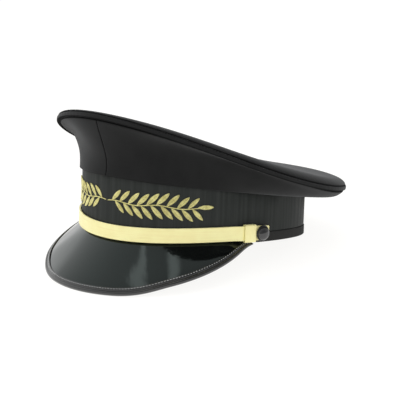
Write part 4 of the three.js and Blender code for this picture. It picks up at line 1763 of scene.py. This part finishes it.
@dataclass
class Laurel:
    """Two laurel branches in gold satin stitch, spreading from the front of the ribbon."""

    head: Head
    gold: bpy.types.Material
    first: float = 3.2
    last: float = 49.0
    pairs: int = 9
    leaf_length: float = 13.4
    leaf_breadth: float = 4.7
    splay: float = 45.0
    stand: float = 0.12

    def middle(self, station: Array) -> Array:
        """Height of the stem: half way up the ribbon that shows, in a slow wave."""
        low = self.head.strap_foot(station) + self.head.strap_width
        rise = 0.5 * (low + self.head.band_top(station)) - 0.4
        return rise + 0.9 * np.sin(np.abs(station) * math.radians(360.0 / 24.0))

    def on_ribbon(self, station: Array, height: Array, offset: float) -> Array:
        """Points on the ribbon, a little off it."""
        return self.head.beside(station, offset, height)

    def directions(self, station: Array, tilt: Array) -> tuple[Array, Array]:
        """Directions on the ribbon.

        Args:
            station: Angles round the head.
            tilt: Angles up from the level line that leads away from the front.

        Returns:
            The directions at those tilts and the directions out of the ribbon.
        """
        turn = np.radians(station)
        ahead = unit(vectors(self.head.half_width * np.cos(turn), self.head.half_length * np.sin(turn), 0.0))
        ahead = ahead * np.sign(station + 1e-9)[..., None]
        up = unit(vectors(0.0, -self.head.lean + 0.0 * turn, 1.0))
        lean = np.radians(tilt)[..., None]
        heading = ahead * np.cos(lean) + up * np.sin(lean)
        out = np.cross(ahead, up) * np.sign(station + 1e-9)[..., None]
        return heading, unit(out)

    def seats(self) -> tuple[Array, Array, Array]:
        """Where the leaves grow.

        Returns:
            Stations, tilts and sizes, one for each leaf.
        """
        rows = []
        step = (self.last - self.first) / self.pairs
        for side in (1, -1):
            for number in range(self.pairs):
                station = self.first + step * (number + 0.15)
                size = 0.86 + 0.2 * math.sin(math.pi * (number + 1.0) / (self.pairs + 1.0))
                rows.append((side * station, self.splay, size))
                rows.append((side * (station + 0.42 * step), -self.splay, size))
            rows.append((side * (self.last + 0.5), 4.0, 0.95))
        table = np.array(rows)
        return table[:, 0], table[:, 1], table[:, 2]

    def build_leaves(self) -> bpy.types.Object:
        """The leaves."""
        station, tilt, size = self.seats()
        heading, out = self.directions(station, tilt)
        height = self.middle(station) + 0.55 * np.sign(tilt)
        points = self.on_ribbon(station, height, self.stand)
        guide = Guide(
            "laurel_leaves",
            self.head.placed(points),
            self.head.turned(out),
            self.head.turned(heading),
            size,
        )
        piece = guide.sewn(
            satin_leaves(),
            Stitches=21,
            Length=self.leaf_length * MM,
            Breadth=self.leaf_breadth * MM,
            Rise=0.35 * MM,
            Width=0.5 * MM,
            Slant=math.radians(52.0),
            Thread=self.gold,
        )
        return finished(piece, "gold_strap")

    def build_stem(self, side: int, word: str) -> bpy.types.Object:
        """A stem of slanting stitches.

        Args:
            side: 1 for the wearer's left, -1 for the right.
            word: The side's name.

        Returns:
            The finished piece.
        """
        station = side * np.linspace(1.0, self.last + 1.0, 120)
        _, out = self.directions(station, np.zeros_like(station))
        points = self.on_ribbon(station, self.middle(station), self.stand + 0.12)
        guide = Guide(
            f"laurel_stem_{word}", self.head.placed(points), self.head.turned(out), joined=True
        )
        piece = guide.sewn(
            run_of_stitches(),
            Pitch=0.85 * MM,
            Length=1.8 * MM,
            Width=0.55 * MM,
            Slant=math.radians(24.0),
            Thread=self.gold,
        )
        return finished(piece, "gold_strap")

    def build(self) -> list[bpy.types.Object]:
        """All the embroidery."""
        return [self.build_leaves(), self.build_stem(1, "left"), self.build_stem(-1, "right")]


# ---------------------------------------------------------------- the studio


@dataclass(frozen=True)
class Softbox:
    """A soft light: its direction from the cap, distance, size and strength."""

    name: str
    azimuth: float
    elevation: float
    distance: float
    width: float
    height: float
    power: float
    colour: Colour = (1.0, 1.0, 1.0)
    glossy: bool = False


@dataclass
class Studio:
    """Camera, soft light and a plain pale floor."""

    azimuth: float = 43.307
    elevation: float = 14.869
    roll: float = -2.032
    distance: float = 1.2002
    aim: tuple[float, float, float] = (0.0, 0.0103, 0.0415)
    lens: float = 125.52
    floor_size: float = 14.0
    softboxes: tuple[Softbox, ...] = (
        Softbox("front", 50.0, 31.0, 1.7, 1.5, 1.3, 11.4),
        Softbox("top", 20.0, 84.0, 1.8, 1.6, 1.6, 14.0),
        Softbox("side", -64.0, 26.0, 2.0, 1.0, 0.4, 8.0),
    )
    sky: float = 0.6
    bright_side: tuple[float, float] = (-103.0, 5.0)
    side_rise: float = 0.5
    window: float = 0.35
    side_fall: float = 0.5
    strips: tuple[tuple[float, float], ...] = ((-0.355, 0.055), (0.012, 0.10))
    strip_glow: float = 1.15

    def toward(self, azimuth: float, elevation: float) -> Vector:
        """Direction from the cap at an azimuth and elevation in degrees."""
        turn, rise = math.radians(azimuth), math.radians(elevation)
        level = math.cos(rise)
        return Vector((math.sin(turn) * level, -math.cos(turn) * level, math.sin(rise)))

    def build_camera(self) -> bpy.types.Object:
        """The camera, which becomes the scene's."""
        data = bpy.data.cameras.new("camera")
        data.lens = self.lens
        data.sensor_width = 36.0
        camera = in_scene(bpy.data.objects.new("camera", data))
        back = self.toward(self.azimuth, self.elevation)
        level = Vector((math.cos(math.radians(self.azimuth)), math.sin(math.radians(self.azimuth)), 0.0))
        right = Matrix.Rotation(math.radians(self.roll), 3, back) @ level
        up = back.cross(right)
        camera.matrix_world = Matrix(
            (
                (right.x, up.x, back.x, self.aim[0] + back.x * self.distance),
                (right.y, up.y, back.y, self.aim[1] + back.y * self.distance),
                (right.z, up.z, back.z, self.aim[2] + back.z * self.distance),
                (0.0, 0.0, 0.0, 1.0),
            )
        )
        bpy.context.scene.camera = camera
        return camera

    def build_softbox(self, box: Softbox) -> bpy.types.Object:
        """One soft light, turned to the cap."""
        data = bpy.data.lights.new(box.name, "AREA")
        data.shape = "RECTANGLE"
        data.size, data.size_y = box.width, box.height
        data.energy = box.power
        data.color = box.colour
        light = in_scene(bpy.data.objects.new(box.name, data))
        away = self.toward(box.azimuth, box.elevation)
        light.location = Vector(self.aim) + away * box.distance
        light.rotation_mode = "QUATERNION"
        light.rotation_quaternion = (-away).to_track_quat("-Z", "Y")
        light.visible_glossy = box.glossy
        return light

    def build_sky(self) -> None:
        """Surroundings: an even sky, a window low on one side and two lamp strips overhead."""
        world = bpy.data.worlds.new("surroundings")
        world.use_nodes = True
        bpy.context.scene.world = world
        tree = Tree(world.node_tree)
        seen = tree.wire("ShaderNodeLightPath", None, None, "Is Camera Ray")
        x, y, z = tree.parts(tree.wire("ShaderNodeTexCoord", None, None, "Generated"))
        side = self.toward(*self.bright_side)
        turned = x * side.x + y * side.y + z * side.z
        glow = turned.maths("MAXIMUM", turned, 0.0) * self.side_rise + self.sky
        glow = glow + turned.maths("MINIMUM", turned, 0.0) * self.side_fall
        glow = glow + turned.ramp(0.93, 0.99) * self.window
        height = z.maths("MAXIMUM", z, 0.05)
        across = (x + y) * math.sqrt(0.5) / height
        along = (x - y) * math.sqrt(0.5) / height
        ends = along.ramp(-0.3, -0.1) * (1.0 - along.ramp(0.5, 0.7)) * self.strip_glow
        for middle, width in self.strips:
            off = (across - middle).size()
            glow = glow + ends * (1.0 - off.ramp(0.15 * width, 0.85 * width))
        strength = glow + seen * (1.0 - glow)
        glow = tree.wire("ShaderNodeBackground", None, {"Color": (1.0, 1.0, 1.0, 1.0), "Strength": strength})
        tree.node("ShaderNodeOutputWorld", None, {"Surface": glow})

    def build_floor(self) -> bpy.types.Object:
        """The floor, a large plain square."""
        half = 0.5 * self.floor_size
        mesh = bpy.data.meshes.new("floor")
        corners = [(-half, -half, 0.0), (half, -half, 0.0), (half, half, 0.0), (-half, half, 0.0)]
        mesh.from_pydata(corners, [], [(0, 1, 2, 3)])
        floor = in_scene(bpy.data.objects.new("floor", mesh))
        floor.data.materials.append(StudioFloor().material())
        return floor

    def build(self) -> None:
        """The whole studio, the camera first."""
        self.build_camera()
        self.build_sky()
        for box in self.softboxes:
            self.build_softbox(box)
        self.build_floor()
        bpy.context.scene.view_settings.view_transform = "Standard"


def main() -> None:
    """Builds the studio and every piece of the cap."""
    logging.basicConfig(level=logging.INFO, format="%(name)s %(message)s")
    Studio().build()
    head = Head()
    straw = StrawGold().material()
    hem = PlainCloth("hem_cloth", (0.018, 0.018, 0.0175), (0.03, 0.03, 0.029)).material()
    board = PlainCloth("board_cloth", (0.02, 0.02, 0.02), (0.045, 0.045, 0.045), 0.9).material()
    Crown(head, TwillCloth().material()).build()
    Band(head, board, RibbedRibbon().material(), hem).build()
    Peak(head, Patent().material(), Edging().material(), BlackThread().material()).build()
    ChinStrap(head, straw).build()
    Buttons(head, ButtonGloss().material()).build()
    Laurel(head, GoldThread().material()).build()


if __name__ == "__main__":
    main()
